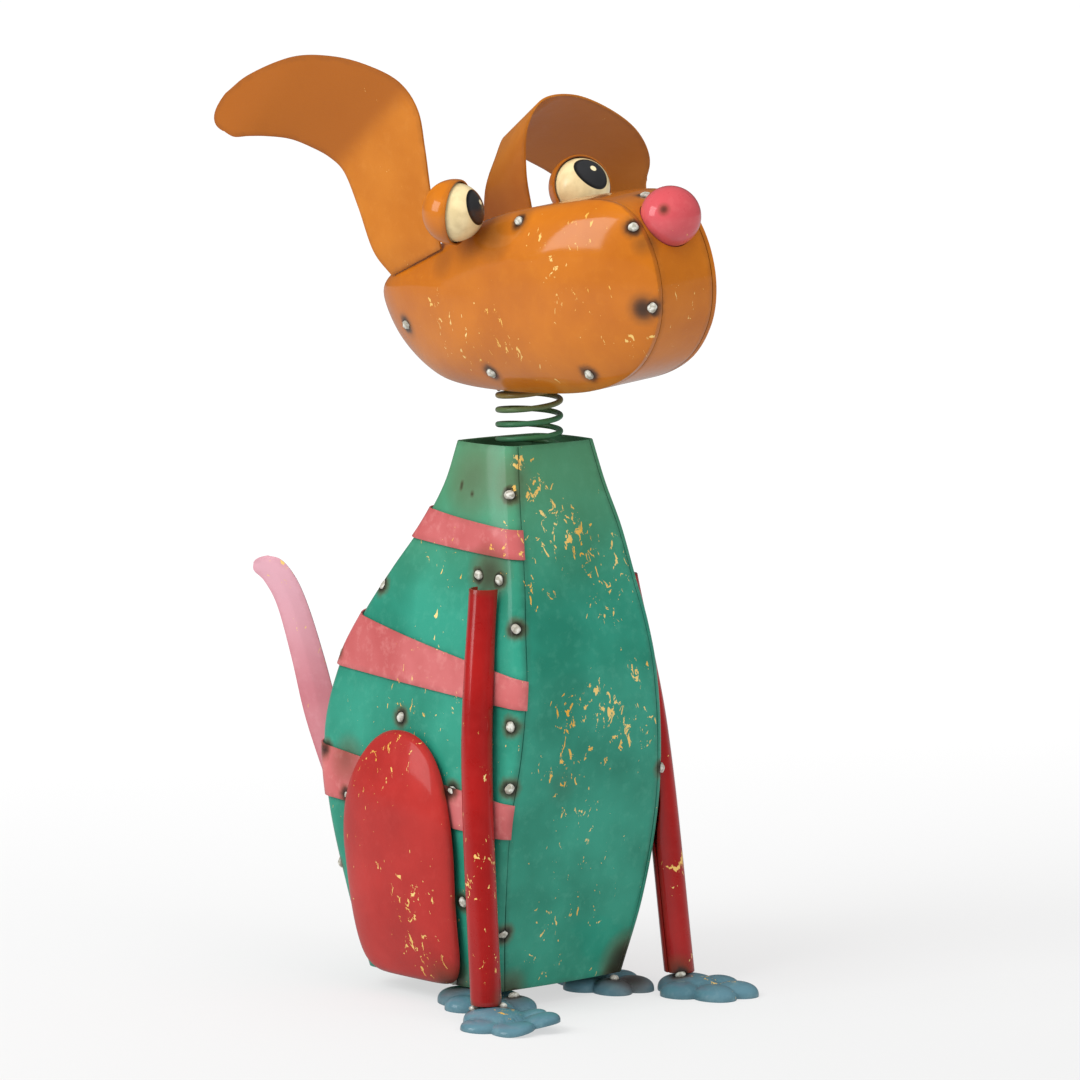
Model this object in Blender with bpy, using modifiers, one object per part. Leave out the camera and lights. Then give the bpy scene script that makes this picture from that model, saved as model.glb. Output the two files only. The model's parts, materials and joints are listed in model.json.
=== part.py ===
"""Scrap metal dog sculpture: a sitting dog of cut, pressed and welded sheet steel.

The dog faces -Y, its right side is -X, and it stands on the ground at Z = 0.
Sizes below are in millimetres; meshes are made in metres.
"""
import math

import bmesh
import bpy
from mathutils import Matrix, Vector

MM = 0.001

# Driving sizes of the sheet metal work
SHEET = 1.0
GAP = 0.3

# Body: four curved sheets round an open barrel
BODY_BOTTOM = 8.0
BODY_HEIGHT = 228.0
PANEL_CROWN = 1.2
SIDE_BULGE = 4.5
SIDE_CROWN = 1.2
SHOULDER = 6.0
BODY_ROWS = 12
# Share of height, then half width, front reach and back reach as shares of body height
BODY_FORM = (
    (0.00, 0.1412, 0.1031, 0.268),
    (0.14, 0.1667, 0.1338, 0.300),
    (0.315, 0.1798, 0.1623, 0.341),
    (0.447, 0.1689, 0.1807, 0.363),
    (0.58, 0.1566, 0.1816, 0.327),
    (0.667, 0.1469, 0.1680, 0.275),
    (0.754, 0.1316, 0.1482, 0.212),
    (0.842, 0.1184, 0.1254, 0.140),
    (0.92, 0.1022, 0.1010, 0.098),
    (1.00, 0.0877, 0.0811, 0.077),
)

# Stripes: thin strips across each side; heights of top and lower edge, front then back
STRIPE_SHEET = 0.7
STRIPE_STAND = 0.6
STRIPES = (
    ("neck", 202.0, 207.5, 190.0, 194.5),
    ("chest", 141.0, 161.0, 129.0, 137.5),
    ("belly", 89.5, 104.0, 75.0, 81.5),
)

# Haunch plates
HAUNCH_MID = 25.0
HAUNCH_HALF = 35.0
HAUNCH_TOP = 114.5
HAUNCH_SPRINGING = 62.0
HAUNCH_DOME = 7.0

# Front legs and paws
LEG_RADIUS = 6.5
LEG_TOP = (38.8, -18.5, 178.0)
LEG_KNEE = (49.7, -25.9, 112.0)
LEG_FOOT = (54.9, -37.4)
PAW_SHEET = 1.2
PAW_HEIGHT = 7.4
HIND_ANKLE = (33.5, -0.5)
HIND_HEEL = 14.0
HIND_SHARE = 0.8
FRONT_HEEL = 9.0
FRONT_SHARE = 0.86
# Toe lobes: sideways, forward, half width, half length
TOES = (
    (-13.0, 13.0, 9.5, 11.0),
    (-7.0, 30.0, 9.5, 12.0),
    (7.5, 31.5, 9.5, 12.0),
    (13.0, 15.0, 9.5, 11.0),
)
TOE_HEIGHT = 6.0
PALM = (14.0, 24.0)
HEEL_PAD = 4.0

# Tail sheet, in an upright plane that swings out from the back panel
TAIL_ROOT = (-6.0, 78.0)
TAIL_SWING = math.radians(26.8)
# Front edge and back edge: out along the plane, up
TAIL_EDGES = (
    ((1.5, 60.0), (8.0, 36.0)),
    ((9.0, 77.0), (22.0, 58.0)),
    ((18.5, 95.0), (31.0, 80.0)),
    ((25.5, 112.0), (41.0, 108.0)),
    ((32.0, 134.0), (47.5, 134.0)),
    ((39.0, 155.0), (54.0, 156.0)),
    ((45.0, 168.0), (60.0, 166.5)),
    ((52.0, 176.0), (65.0, 171.0)),
    ((58.5, 177.5), (65.0, 174.5)),
)
TAIL_WELD = (46.0, 24.0)

# Neck spring
SPRING_CENTRE = (0.0, -3.0)
SPRING_RADIUS = 13.1
SPRING_WIRE = 1.2
SPRING_PITCH = 6.5
SPRING_BASE = 226.0

# Head, drawn upright and then tilted about its pivot in the middle of the spring
HEAD_PIVOT = (0.0, -3.0, 247.0)
HEAD_TILT = math.radians(6.0)
BAND_HALF = 14.0
CHEEK_DEPTH = 18.0
CHEEK_RIM = 2.0
CHEEK_MID = (-22.0, 301.0)
# Direction, half width and fading of the cheek's fuller part, under the eye and the ear
CHEEK_FULL = (65.0, 50.0, 40.0)
HEAD_SECTORS = 28
# Side outline of the head: along Y, up
HEAD_OUTLINE = (
    (64.5, 296.0), (57.0, 279.5), (40.0, 266.5), (19.5, 260.8), (-20.0, 260.0),
    (-60.0, 263.2), (-86.0, 272.5), (-101.0, 288.0), (-106.0, 306.0), (-102.5, 324.5),
    (-92.0, 338.5), (-75.0, 343.3), (-45.0, 340.0), (-16.0, 334.8), (12.0, 325.5),
    (40.0, 313.0), (58.0, 305.5),
)

# Eyes and nose
EYE_RADIUS = 12.2
LID_SHEET = 1.0
LID_CLEARANCE = 0.5
EYE_SEAT = (-9.7, 328.8)
LID_ANGLE = math.radians(97.0)
EYE_AIM = {-1: (0.21, -0.97, 0.06), 1: (-0.44, -0.87, 0.26)}
LID_AIM = {-1: (0.40, -0.91, -0.10), 1: (-0.25, -0.93, 0.26)}
NOSE_RADIUS = 12.5
NOSE_CENTRE = (-99.0, 335.4)

# Ears: front edge and back edge as sideways, along Y, up, from just above the weld
EAR_SHEET = 0.9
EAR_STAND = 0.65
EAR_WELD = ((14.0, 320.0), (50.0, 306.5))
EAR_RAISED = (
    ((-26.5, 15.5, 329.0), (-26.5, 57.5, 317.0)),
    ((-26.0, 18.5, 343.0), (-26.0, 65.5, 335.0)),
    ((-26.0, 20.0, 362.0), (-26.5, 72.0, 349.5)),
    ((-26.5, 22.0, 378.0), (-28.0, 79.0, 356.0)),
    ((-28.5, 30.0, 389.5), (-30.5, 88.0, 360.5)),
    ((-32.0, 45.0, 396.5), (-33.5, 98.0, 364.0)),
    ((-35.5, 63.5, 400.3), (-37.0, 109.0, 365.2)),
    ((-39.5, 85.0, 400.0), (-40.0, 121.0, 365.5)),
    ((-42.0, 110.0, 391.5), (-42.0, 128.0, 366.5)),
    ((-43.0, 127.0, 379.5), (-43.0, 133.0, 371.5)),
)
EAR_FOLDED = (
    ((26.5, 15.5, 330.0), (26.5, 47.0, 320.0)),
    ((25.5, 16.0, 345.0), (27.0, 44.0, 336.0)),
    ((28.0, 16.0, 363.0), (35.0, 44.0, 350.0)),
    ((38.0, 16.0, 373.5), (50.0, 50.0, 360.0)),
    ((56.0, 16.0, 373.0), (66.0, 56.0, 360.0)),
    ((76.0, 17.0, 364.5), (80.0, 60.0, 351.0)),
    ((94.0, 20.0, 352.5), (90.0, 61.0, 340.0)),
    ((106.0, 26.0, 338.5), (99.0, 57.0, 328.0)),
    ((111.0, 36.0, 326.0), (107.0, 46.0, 322.0)),
)

# Paint and metal: colour, roughness, metallic
FINISHES = {
    "body_teal": ((0.055, 0.33, 0.24), 0.42, 0.0),
    "stripe_pink": ((0.78, 0.17, 0.20), 0.42, 0.0),
    "haunch_red": ((0.52, 0.035, 0.03), 0.42, 0.0),
    "leg_red": ((0.42, 0.012, 0.018), 0.35, 0.0),
    "paw_blue": ((0.12, 0.24, 0.30), 0.45, 0.0),
    "tail_pink": ((0.78, 0.30, 0.36), 0.45, 0.0),
    "spring_green": ((0.10, 0.22, 0.12), 0.45, 0.2),
    "head_orange": ((0.66, 0.21, 0.018), 0.32, 0.0),
    "ear_orange": ((0.62, 0.21, 0.025), 0.42, 0.0),
    "eye_cream": ((0.80, 0.66, 0.42), 0.25, 0.0),
    "nose_pink": ((0.75, 0.10, 0.17), 0.28, 0.0),
}


def finish(name):
    """One painted finish."""
    found = bpy.data.materials.get(name)
    if found:
        return found
    colour, roughness, metallic = FINISHES[name]
    material = bpy.data.materials.new(name)
    material.use_nodes = True
    shader = material.node_tree.nodes["Principled BSDF"]
    shader.inputs["Base Color"].default_value = (*colour, 1.0)
    shader.inputs["Roughness"].default_value = roughness
    shader.inputs["Metallic"].default_value = metallic
    return material


def spline(rows, at):
    """Smooth curve through rows of (place, values...) read at one place."""
    last = len(rows) - 2
    index = 0
    while index < last and at > rows[index + 1][0]:
        index += 1
    low, high = rows[index], rows[index + 1]
    before = rows[max(index - 1, 0)]
    after = rows[min(index + 2, len(rows) - 1)]
    span = high[0] - low[0]
    share = (at - low[0]) / span
    values = []
    for k in range(1, len(low)):
        slope_low = (high[k] - before[k]) / (high[0] - before[0]) * span
        slope_high = (after[k] - low[k]) / (after[0] - low[0]) * span
        values.append(
            low[k] * (2 * share ** 3 - 3 * share ** 2 + 1)
            + slope_low * (share ** 3 - 2 * share ** 2 + share)
            + high[k] * (3 * share ** 2 - 2 * share ** 3)
            + slope_high * (share ** 3 - share ** 2)
        )
    return values


def closed_spline(points, count):
    """Evenly spaced points round a smooth closed outline."""
    size = len(points)
    fine = []
    for index in range(size):
        p0, p1, p2, p3 = (points[(index + k - 1) % size] for k in range(4))
        for step in range(8):
            t = step / 8
            fine.append(tuple(
                0.5 * (2 * b + (c - a) * t + (2 * a - 5 * b + 4 * c - d) * t * t
                       + (3 * b - a - 3 * c + d) * t ** 3)
                for a, b, c, d in zip(p0, p1, p2, p3)))
    lengths = [0.0]
    for index in range(len(fine)):
        lengths.append(lengths[-1] + math.dist(fine[index], fine[(index + 1) % len(fine)]))
    ring = []
    for number in range(count):
        goal = lengths[-1] * number / count
        index = max(k for k in range(len(fine)) if lengths[k] <= goal)
        t = (goal - lengths[index]) / (lengths[index + 1] - lengths[index])
        start, end = fine[index], fine[(index + 1) % len(fine)]
        ring.append(tuple(a + (b - a) * t for a, b in zip(start, end)))
    return ring


def new_object(name, mesh, material, collection, smooth=40.0):
    """Link a mesh as a named, painted object."""
    thing = bpy.data.objects.new(name, mesh)
    collection.objects.link(thing)
    if material:
        mesh.materials.append(finish(material))
    mesh.shade_smooth()
    mesh.set_sharp_from_angle(angle=math.radians(smooth))
    return thing


def mesh_from(name, build):
    """Make a mesh with a bmesh builder function, in millimetres."""
    mesh = bpy.data.meshes.new(name)
    shape = bmesh.new()
    build(shape)
    bmesh.ops.scale(shape, vec=(MM, MM, MM), verts=shape.verts)
    shape.to_mesh(mesh)
    shape.free()
    return mesh


def grid_mesh(name, rows, closed=False):
    """Open surface through rows of points; closed joins each row's ends."""
    def build(shape):
        lines = [[shape.verts.new(point) for point in row] for row in rows]
        across = len(rows[0])
        spans = across if closed else across - 1
        for low, high in zip(lines, lines[1:]):
            for k in range(spans):
                n = (k + 1) % across
                shape.faces.new((low[k], low[n], high[n], high[k]))
    return mesh_from(name, build)


def thicken(thing, thickness, offset):
    """Give an open surface its sheet thickness."""
    wall = thing.modifiers.new("sheet", 'SOLIDIFY')
    wall.thickness = thickness * MM
    wall.offset = offset
    wall.use_even_offset = True
    return thing


def cut(thing, cutter, operation='DIFFERENCE'):
    """Boolean one object with another."""
    step = thing.modifiers.new("cut", 'BOOLEAN')
    step.operation = operation
    step.solver = 'EXACT'
    step.object = cutter
    return step


def as_cutter(thing):
    """Show a cutter as wire only."""
    thing.hide_render = True
    thing.display_type = 'WIRE'
    return thing


def settle(thing):
    """Replace an object's mesh by its evaluated mesh, with doubles merged."""
    depsgraph = bpy.context.evaluated_depsgraph_get()
    depsgraph.update()
    mesh = bpy.data.meshes.new_from_object(thing.evaluated_get(depsgraph))
    shape = bmesh.new()
    shape.from_mesh(mesh)
    bmesh.ops.remove_doubles(shape, verts=shape.verts, dist=1e-6)
    shape.to_mesh(mesh)
    shape.free()
    thing.modifiers.clear()
    thing.data = mesh
    return thing


def body_form(height):
    """Half width, front reach and back reach of the body at a height."""
    share = (height - BODY_BOTTOM) / BODY_HEIGHT
    return [value * BODY_HEIGHT for value in spline(BODY_FORM, share)]


def facet_form(height):
    """Body form at a height, read straight between the rows that the sheets are drawn on."""
    step = BODY_HEIGHT / BODY_ROWS
    row = min(int((height - BODY_BOTTOM) / step), BODY_ROWS - 1)
    low = BODY_BOTTOM + row * step
    share = (height - low) / step
    return [a + (b - a) * share for a, b in zip(body_form(low), body_form(low + step))]


def side_section(height, lift=0.0):
    """Cross-section of a side sheet from the front seam to the back seam, sideways positive."""
    half, front, back = facet_form(height)
    edge = half + GAP / 2
    bulge = SIDE_BULGE + lift
    points = []
    for step in range(3):
        angle = math.radians(30) * step
        points.append((edge + bulge * math.sin(angle),
                       -front - lift + (SHOULDER + lift) * (1 - math.cos(angle))))
    start, end = -front + SHOULDER, back - SHOULDER
    for step in range(5):
        share = step / 4
        crown = SIDE_CROWN * 4 * share * (1 - share)
        points.append((edge + bulge + crown, start + (end - start) * share))
    for step in range(2, -1, -1):
        angle = math.radians(30) * step
        points.append((edge + bulge * math.sin(angle),
                       back + lift - (SHOULDER + lift) * (1 - math.cos(angle))))
    return points


def side_reach(along, height, lift=0.0):
    """How far sideways a side sheet's face stands at one place."""
    section = side_section(height, lift)
    for (x0, y0), (x1, y1) in zip(section, section[1:]):
        if y0 <= along <= y1:
            return x0 + (x1 - x0) * (along - y0) / (y1 - y0)
    return section[0][0] if along < section[0][1] else section[-1][0]


def body_heights(rows=BODY_ROWS):
    """Evenly spaced heights up the body."""
    return [BODY_BOTTOM + BODY_HEIGHT * k / rows for k in range(rows + 1)]


def body_panel(name, facing, collection):
    """Front (-1) or back (+1) sheet between the side sheets."""
    rows = []
    for height in body_heights():
        half, front, back = body_form(height)
        reach = front if facing < 0 else back
        row = []
        for k in range(5):
            across = k / 2 - 1
            row.append((across * (half - GAP / 2) * -facing,
                        facing * (reach + PANEL_CROWN * (1 - across ** 2)), height))
        rows.append(row)
    panel = new_object(name, grid_mesh(name, rows), "body_teal", collection)
    return thicken(panel, SHEET, -1.0)


def body_side(name, side, collection):
    """Pressed side sheet with rounded shoulders along both seams."""
    rows = []
    for height in body_heights():
        section = [(side * x, y, height) for x, y in side_section(height)]
        rows.append(section if side > 0 else section[::-1])
    sheet = new_object(name, grid_mesh(name, rows), "body_teal", collection)
    return thicken(sheet, SHEET, -1.0)


def stripe(name, side, edges, collection):
    """Thin strip that wraps across a side sheet from seam to seam."""
    top_front, top_back, low_front, low_back = edges
    count = len(side_section(BODY_BOTTOM))
    rows = []
    for up in range(4):
        row = []
        for k in range(count):
            share = k / (count - 1)
            top = top_front + (top_back - top_front) * share
            low = low_front + (low_back - low_front) * share
            height = low + (top - low) * up / 3
            x, y = side_section(height, STRIPE_STAND)[k]
            row.append((side * x, y, height))
        rows.append(row if side > 0 else row[::-1])
    strip = new_object(name, grid_mesh(name, rows), "stripe_pink", collection)
    return thicken(strip, STRIPE_SHEET, 1.0)


def haunch_edge(angle):
    """Haunch outline about its middle: a round arch above, nearly square below."""
    low = HAUNCH_SPRINGING - BODY_BOTTOM
    high = HAUNCH_TOP - HAUNCH_SPRINGING
    c, s = math.cos(angle), math.sin(angle)
    power = 2 / 2.2 if s > 0 else 2 / 7
    along = math.copysign(abs(c) ** power, c) * HAUNCH_HALF
    up = math.copysign(abs(s) ** power, s) * (high if s > 0 else low)
    lean = 1.0 if s > 0 else 1.0 - 0.07 * abs(up) / low
    return HAUNCH_MID + along * lean, HAUNCH_SPRINGING + up


def haunch(name, side, collection):
    """Domed red plate over the hind quarter."""
    seat = STRIPE_STAND + STRIPE_SHEET + 2 * GAP + SHEET
    sectors = 24
    shares = (1.0, 0.92, 0.75, 0.42)

    def point(share, k):
        y, z = haunch_edge(2 * math.pi * k / sectors)
        y = HAUNCH_MID + (y - HAUNCH_MID) * share
        z = HAUNCH_SPRINGING + (z - HAUNCH_SPRINGING) * share
        lift = seat + HAUNCH_DOME * math.sqrt(1 - share ** 2.2)
        return Vector((side * (side_reach(y, z) + lift), y, z))

    def build(shape):
        rings = [[shape.verts.new(point(share, k)) for k in range(sectors)] for share in shares]
        middle = shape.verts.new(point(0.0, 0))
        for outer, inner in zip(rings, rings[1:]):
            for k in range(sectors):
                n = (k + 1) % sectors
                shape.faces.new((outer[k], outer[n], inner[n], inner[k])[::side])
        for k in range(sectors):
            n = (k + 1) % sectors
            shape.faces.new((rings[-1][k], rings[-1][n], middle)[::side])

    plate = new_object(name, mesh_from(name, build), "haunch_red", collection)
    return thicken(plate, SHEET, -1.0)


def body_envelope(lift, collection):
    """Closed cutter: the body's outer form with a clearance all round."""
    rows = []
    for height in body_heights():
        section = side_section(height, lift)
        ring = [(x, y, height) for x, y in section]
        ring += [(-x, y, height) for x, y in reversed(section)]
        rows.append(ring)

    def build(shape):
        lines = [[shape.verts.new(point) for point in row] for row in rows]
        size = len(rows[0])
        for low, high in zip(lines, lines[1:]):
            for k in range(size):
                n = (k + 1) % size
                shape.faces.new((low[k], low[n], high[n], high[k]))
        shape.faces.new(lines[0][::-1])
        shape.faces.new(lines[-1])

    return as_cutter(new_object("body_envelope", mesh_from("body_envelope", build), None, collection))


def tube_along(name, points, radius, sides, material, collection):
    """Closed round bar along a smooth path, its caps welded."""
    curve = bpy.data.curves.new(name, 'CURVE')
    curve.dimensions = '3D'
    curve.bevel_depth = radius * MM
    curve.bevel_resolution = sides // 2 - 2
    curve.use_fill_caps = True
    path = curve.splines.new('POLY')
    path.points.add(len(points) - 1)
    for node, point in zip(path.points, points):
        node.co = (*(value * MM for value in point), 1.0)
    rail = bpy.data.objects.new(name + "_path", curve)
    collection.objects.link(rail)
    depsgraph = bpy.context.evaluated_depsgraph_get()
    depsgraph.update()
    mesh = bpy.data.meshes.new_from_object(rail.evaluated_get(depsgraph))
    shape = bmesh.new()
    shape.from_mesh(mesh)
    bmesh.ops.remove_doubles(shape, verts=shape.verts, dist=1e-6)
    bmesh.ops.recalc_face_normals(shape, faces=shape.faces)
    shape.to_mesh(mesh)
    shape.free()
    bpy.data.objects.remove(rail)
    mesh.materials.clear()
    return new_object(name, mesh, material, collection)


def leg_path(side, extra=0.0, count=8):
    """Leg centre line from the ankle up to the shoulder."""
    foot = (PAW_HEIGHT + GAP, *LEG_FOOT)
    knee = (LEG_KNEE[2], *LEG_KNEE[:2])
    top = (LEG_TOP[2], *LEG_TOP[:2])
    rows = (foot, knee, top)
    low, high = foot[0] - extra, top[0] + extra
    points = []
    for k in range(count):
        height = low + (high - low) * k / (count - 1)
        x, y = spline(rows, height)
        points.append((side * x, y, height))
    return points


def front_leg(name, side, envelope, parts, cutters):
    """Tube leg, hollow, cut open where it lies on the body."""
    leg = tube_along(name, leg_path(side), LEG_RADIUS, 12, "leg_red", parts)
    bore = tube_along(name + "_bore", leg_path(side, 6.0), LEG_RADIUS - SHEET, 12, None, cutters)
    cut(leg, as_cutter(bore))
    cut(leg, envelope)
    return leg


def lobe(name, x, y, half_width, half_length, height, collection):
    """Flattened round lobe that is cut by the ground."""
    mesh = bpy.data.meshes.new(name)
    shape = bmesh.new()
    bmesh.ops.create_uvsphere(shape, u_segments=9, v_segments=6, radius=1.0)
    for vert in shape.verts:
        vert.co = Vector((x + vert.co.x * half_width, y + vert.co.y * half_length,
                          vert.co.z * height)) * MM
    shape.to_mesh(mesh)
    shape.free()
    return new_object(name, mesh, None, collection)


def paw_form(name, heel, share, wall, scratch):
    """Union of the palm and the toe lobes, drawn in by a wall."""
    reach = PALM[1] * share
    palm = lobe(name, 0.0, (heel - reach) / 2, PALM[0] * share - wall,
                (heel + reach) / 2 - wall, PAW_HEIGHT - wall, scratch)
    others = []
    for number, toe_sizes in enumerate(TOES):
        across, forward, width, length = (value * share for value in toe_sizes)
        toe = lobe(f"{name}_toe_{number}", across, -forward, width - wall, length - wall,
                   TOE_HEIGHT - wall, scratch)
        others.append(toe)
        cut(palm, toe, 'UNION')
    settle(palm)
    for toe in others:
        bpy.data.objects.remove(toe)
    return palm


def paw(name, ankle, heel, share, turn, parts, cutters):
    """Pressed paw shell standing on its rim."""
    outer = paw_form(name, heel, share, 0.0, parts)
    inner = paw_form(name + "_hollow", heel - HEEL_PAD, share, PAW_SHEET, cutters)
    bpy.ops.mesh.primitive_cube_add(size=1.0)
    ground = bpy.context.object
    ground.name = name + "_ground"
    ground.scale = (0.2, 0.2, 0.05)
    ground.location = (0.0, 0.0, -0.025)
    for collection in ground.users_collection:
        collection.objects.unlink(ground)
    cutters.objects.link(ground)
    cut(outer, as_cutter(inner))
    cut(outer, as_cutter(ground))
    bpy.context.view_layer.update()
    settle(outer)
    for used in (inner, ground):
        bpy.data.objects.remove(used)
    outer.data.materials.clear()
    outer.data.materials.append(finish("paw_blue"))
    outer.data.shade_smooth()
    outer.data.set_sharp_from_angle(angle=math.radians(45))
    outer.location = (ankle[0] * MM, ankle[1] * MM, 0.0)
    outer.rotation_euler = (0.0, 0.0, turn)
    return outer


def strip_rows(edges, across, close=0.25):
    """Rows of points between two smooth edges, with a rounded end."""
    stations = len(edges)
    fronts = [(k, *edge[0]) for k, edge in enumerate(edges)]
    backs = [(k, *edge[1]) for k, edge in enumerate(edges)]
    rows = []
    steps = 2 * (stations - 1)
    for step in range(steps + 1):
        at = step / 2
        front, back = Vector(spline(fronts, at)), Vector(spline(backs, at))
        rows.append([front.lerp(back, k / across) for k in range(across + 1)])
    bulge = rows[-1][0] - rows[-2][0] + rows[-1][-1] - rows[-2][-1]
    for k in range(across + 1):
        share = 2 * k / across - 1
        rows[-1][k] = rows[-1][k] + bulge * close * (1 - share ** 2)
    return rows


def tail_point(out, up):
    """Place in the tail's swung upright plane."""
    return (TAIL_ROOT[0] - out * math.sin(TAIL_SWING), TAIL_ROOT[1] + out * math.cos(TAIL_SWING), up)


def tail(collection):
    """Sabre-shaped sheet tail welded edge-on to the back panel."""
    start = []
    for up in TAIL_WELD:
        back = body_form(up)[2] + PANEL_CROWN + GAP + SHEET / 2
        start.append(tail_point((back - TAIL_ROOT[1]) / math.cos(TAIL_SWING), up))
    edges = [start] + [[tail_point(*spot) for spot in pair] for pair in TAIL_EDGES]
    sheet = new_object("tail", grid_mesh("tail", strip_rows(edges, 2)), "tail_pink", collection)
    return thicken(sheet, SHEET, 0.0)


def spring_path():
    """Coil from a weld inside the front panel up to the underside of the head."""
    head_low = min(point[1] for point in HEAD_OUTLINE)
    top = head_low - GAP - SPRING_WIRE
    turns = (top - SPRING_BASE) / SPRING_PITCH + 0.6
    neck_front = body_form(SPRING_BASE)[1] + SPRING_CENTRE[1]
    wide = neck_front - SHEET - GAP - SPRING_WIRE
    steps = int(turns * 10)
    points = []
    for k in range(steps + 1):
        share = k / steps
        angle = -math.pi / 2 + 2 * math.pi * turns * share
        radius = SPRING_RADIUS + (wide - SPRING_RADIUS) * max(0.0, 1 - share * turns * 2)
        lift = min(share * (1 + 0.6 / turns), 1.0)
        x = SPRING_CENTRE[0] + radius * math.cos(angle)
        y = SPRING_CENTRE[1] + radius * math.sin(angle)
        z = SPRING_BASE + (top - SPRING_BASE) * lift
        points.append((x, y, z + x * math.tan(HEAD_TILT) * share ** 2 - share * 0.3))
    return points


def head_ring():
    """Evenly spaced head outline shared by the band and both cheeks."""
    return closed_spline(HEAD_OUTLINE, HEAD_SECTORS)


def cheek_soft(y, z):
    """1 where the cheek runs softly out to its rim, 0 under the eye and the ear."""
    middle, half, fade = CHEEK_FULL
    angle = math.degrees(math.atan2(z - CHEEK_MID[1], y - CHEEK_MID[0]))
    away = abs((angle - middle + 180.0) % 360.0 - 180.0)
    part = min(max((away - half) / fade, 0.0), 1.0)
    return part * part * (3 - 2 * part)


def cheek_shape(share, soft):
    """Depth of the cheek dome at a share of the way out to its rim."""
    return CHEEK_RIM + (CHEEK_DEPTH - CHEEK_RIM) * (1 - share ** 2.6) ** (0.455 + 0.4 * soft)


def cheek_point(share, place, side):
    """Point on the cheek's outer face."""
    y = CHEEK_MID[0] + (place[0] - CHEEK_MID[0]) * share
    z = CHEEK_MID[1] + (place[1] - CHEEK_MID[1]) * share
    depth = cheek_shape(share, cheek_soft(*place))
    return Vector((side * (BAND_HALF + GAP / 2 + depth), y, z))


def cheek_share(y, z):
    """Share of the way from the cheek's middle to its rim."""
    ring = head_ring()
    goal = math.atan2(z - CHEEK_MID[1], y - CHEEK_MID[0])
    for k, start in enumerate(ring):
        end = ring[(k + 1) % len(ring)]
        a = math.atan2(start[1] - CHEEK_MID[1], start[0] - CHEEK_MID[0])
        b = math.atan2(end[1] - CHEEK_MID[1], end[0] - CHEEK_MID[0])
        turn = (b - a + math.pi) % (2 * math.pi) - math.pi
        part = (goal - a + math.pi) % (2 * math.pi) - math.pi
        if turn and 0 <= part / turn <= 1:
            t = part / turn
            rim = (start[0] + (end[0] - start[0]) * t, start[1] + (end[1] - start[1]) * t)
            return math.dist((y, z), CHEEK_MID) / math.dist(rim, CHEEK_MID)
    return 1.0


def cheek_reach(y, z):
    """How far sideways the cheek's outer face stands at one place."""
    return BAND_HALF + GAP / 2 + cheek_shape(min(cheek_share(y, z), 1.0), cheek_soft(y, z))


def cheek(name, side, collection):
    """Deep pressed cheek shell."""
    ring = head_ring()
    shares = (1.0, 0.96, 0.85, 0.65, 0.35)
    rim = [Vector((side * (BAND_HALF + GAP / 2), y, z)) for y, z in ring]

    def build(shape):
        lines = [[shape.verts.new(place) for place in rim]]
        lines += [[shape.verts.new(cheek_point(share, place, side)) for place in ring]
                  for share in shares]
        middle = shape.verts.new(cheek_point(0.0, ring[0], side))
        for outer, inner in zip(lines, lines[1:]):
            for k in range(len(ring)):
                n = (k + 1) % len(ring)
                shape.faces.new((outer[k], outer[n], inner[n], inner[k])[::-side])
        for k in range(len(ring)):
            n = (k + 1) % len(ring)
            shape.faces.new((lines[-1][k], lines[-1][n], middle)[::-side])

    shell = new_object(name, mesh_from(name, build), "head_orange", collection)
    return thicken(shell, SHEET, -1.0)


def head_band(parts, cutters):
    """Strip that runs round the head between the cheeks, with a hole for the nose."""
    half = BAND_HALF - GAP / 2
    rows = [[(x, y, z) for y, z in head_ring()] for x in (-half, half)]
    band = new_object("head_band", grid_mesh("head_band", rows, closed=True), "head_orange", parts)
    thicken(band, SHEET, 1.0)
    hole = ball("nose_hole", (0.0, *NOSE_CENTRE), NOSE_RADIUS + GAP, None, cutters)
    cut(band, as_cutter(hole))
    return band


def ball(name, centre, radius, material, collection, segments=16, rings=10):
    """Round ball."""
    mesh = bpy.data.meshes.new(name)
    shape = bmesh.new()
    bmesh.ops.create_uvsphere(shape, u_segments=segments, v_segments=rings, radius=radius * MM)
    shape.to_mesh(mesh)
    shape.free()
    thing = new_object(name, mesh, material, collection, 60.0)
    thing.location = Vector(centre) * MM
    return thing


def eye_centre(side):
    """Eye place: the lid rests on the cheek's upper face."""
    y, z = EYE_SEAT
    step = 0.5
    seat = Vector((cheek_reach(y, z), y, z))
    slope_y = (cheek_reach(y + step, z) - cheek_reach(y - step, z)) / (2 * step)
    slope_z = (cheek_reach(y, z + step) - cheek_reach(y, z - step)) / (2 * step)
    normal = Vector((1.0, -slope_y, -slope_z)).normalized()
    centre = seat + normal * (EYE_RADIUS + LID_CLEARANCE + LID_SHEET + GAP)
    return Vector((side * centre.x, centre.y, centre.z))


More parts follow.
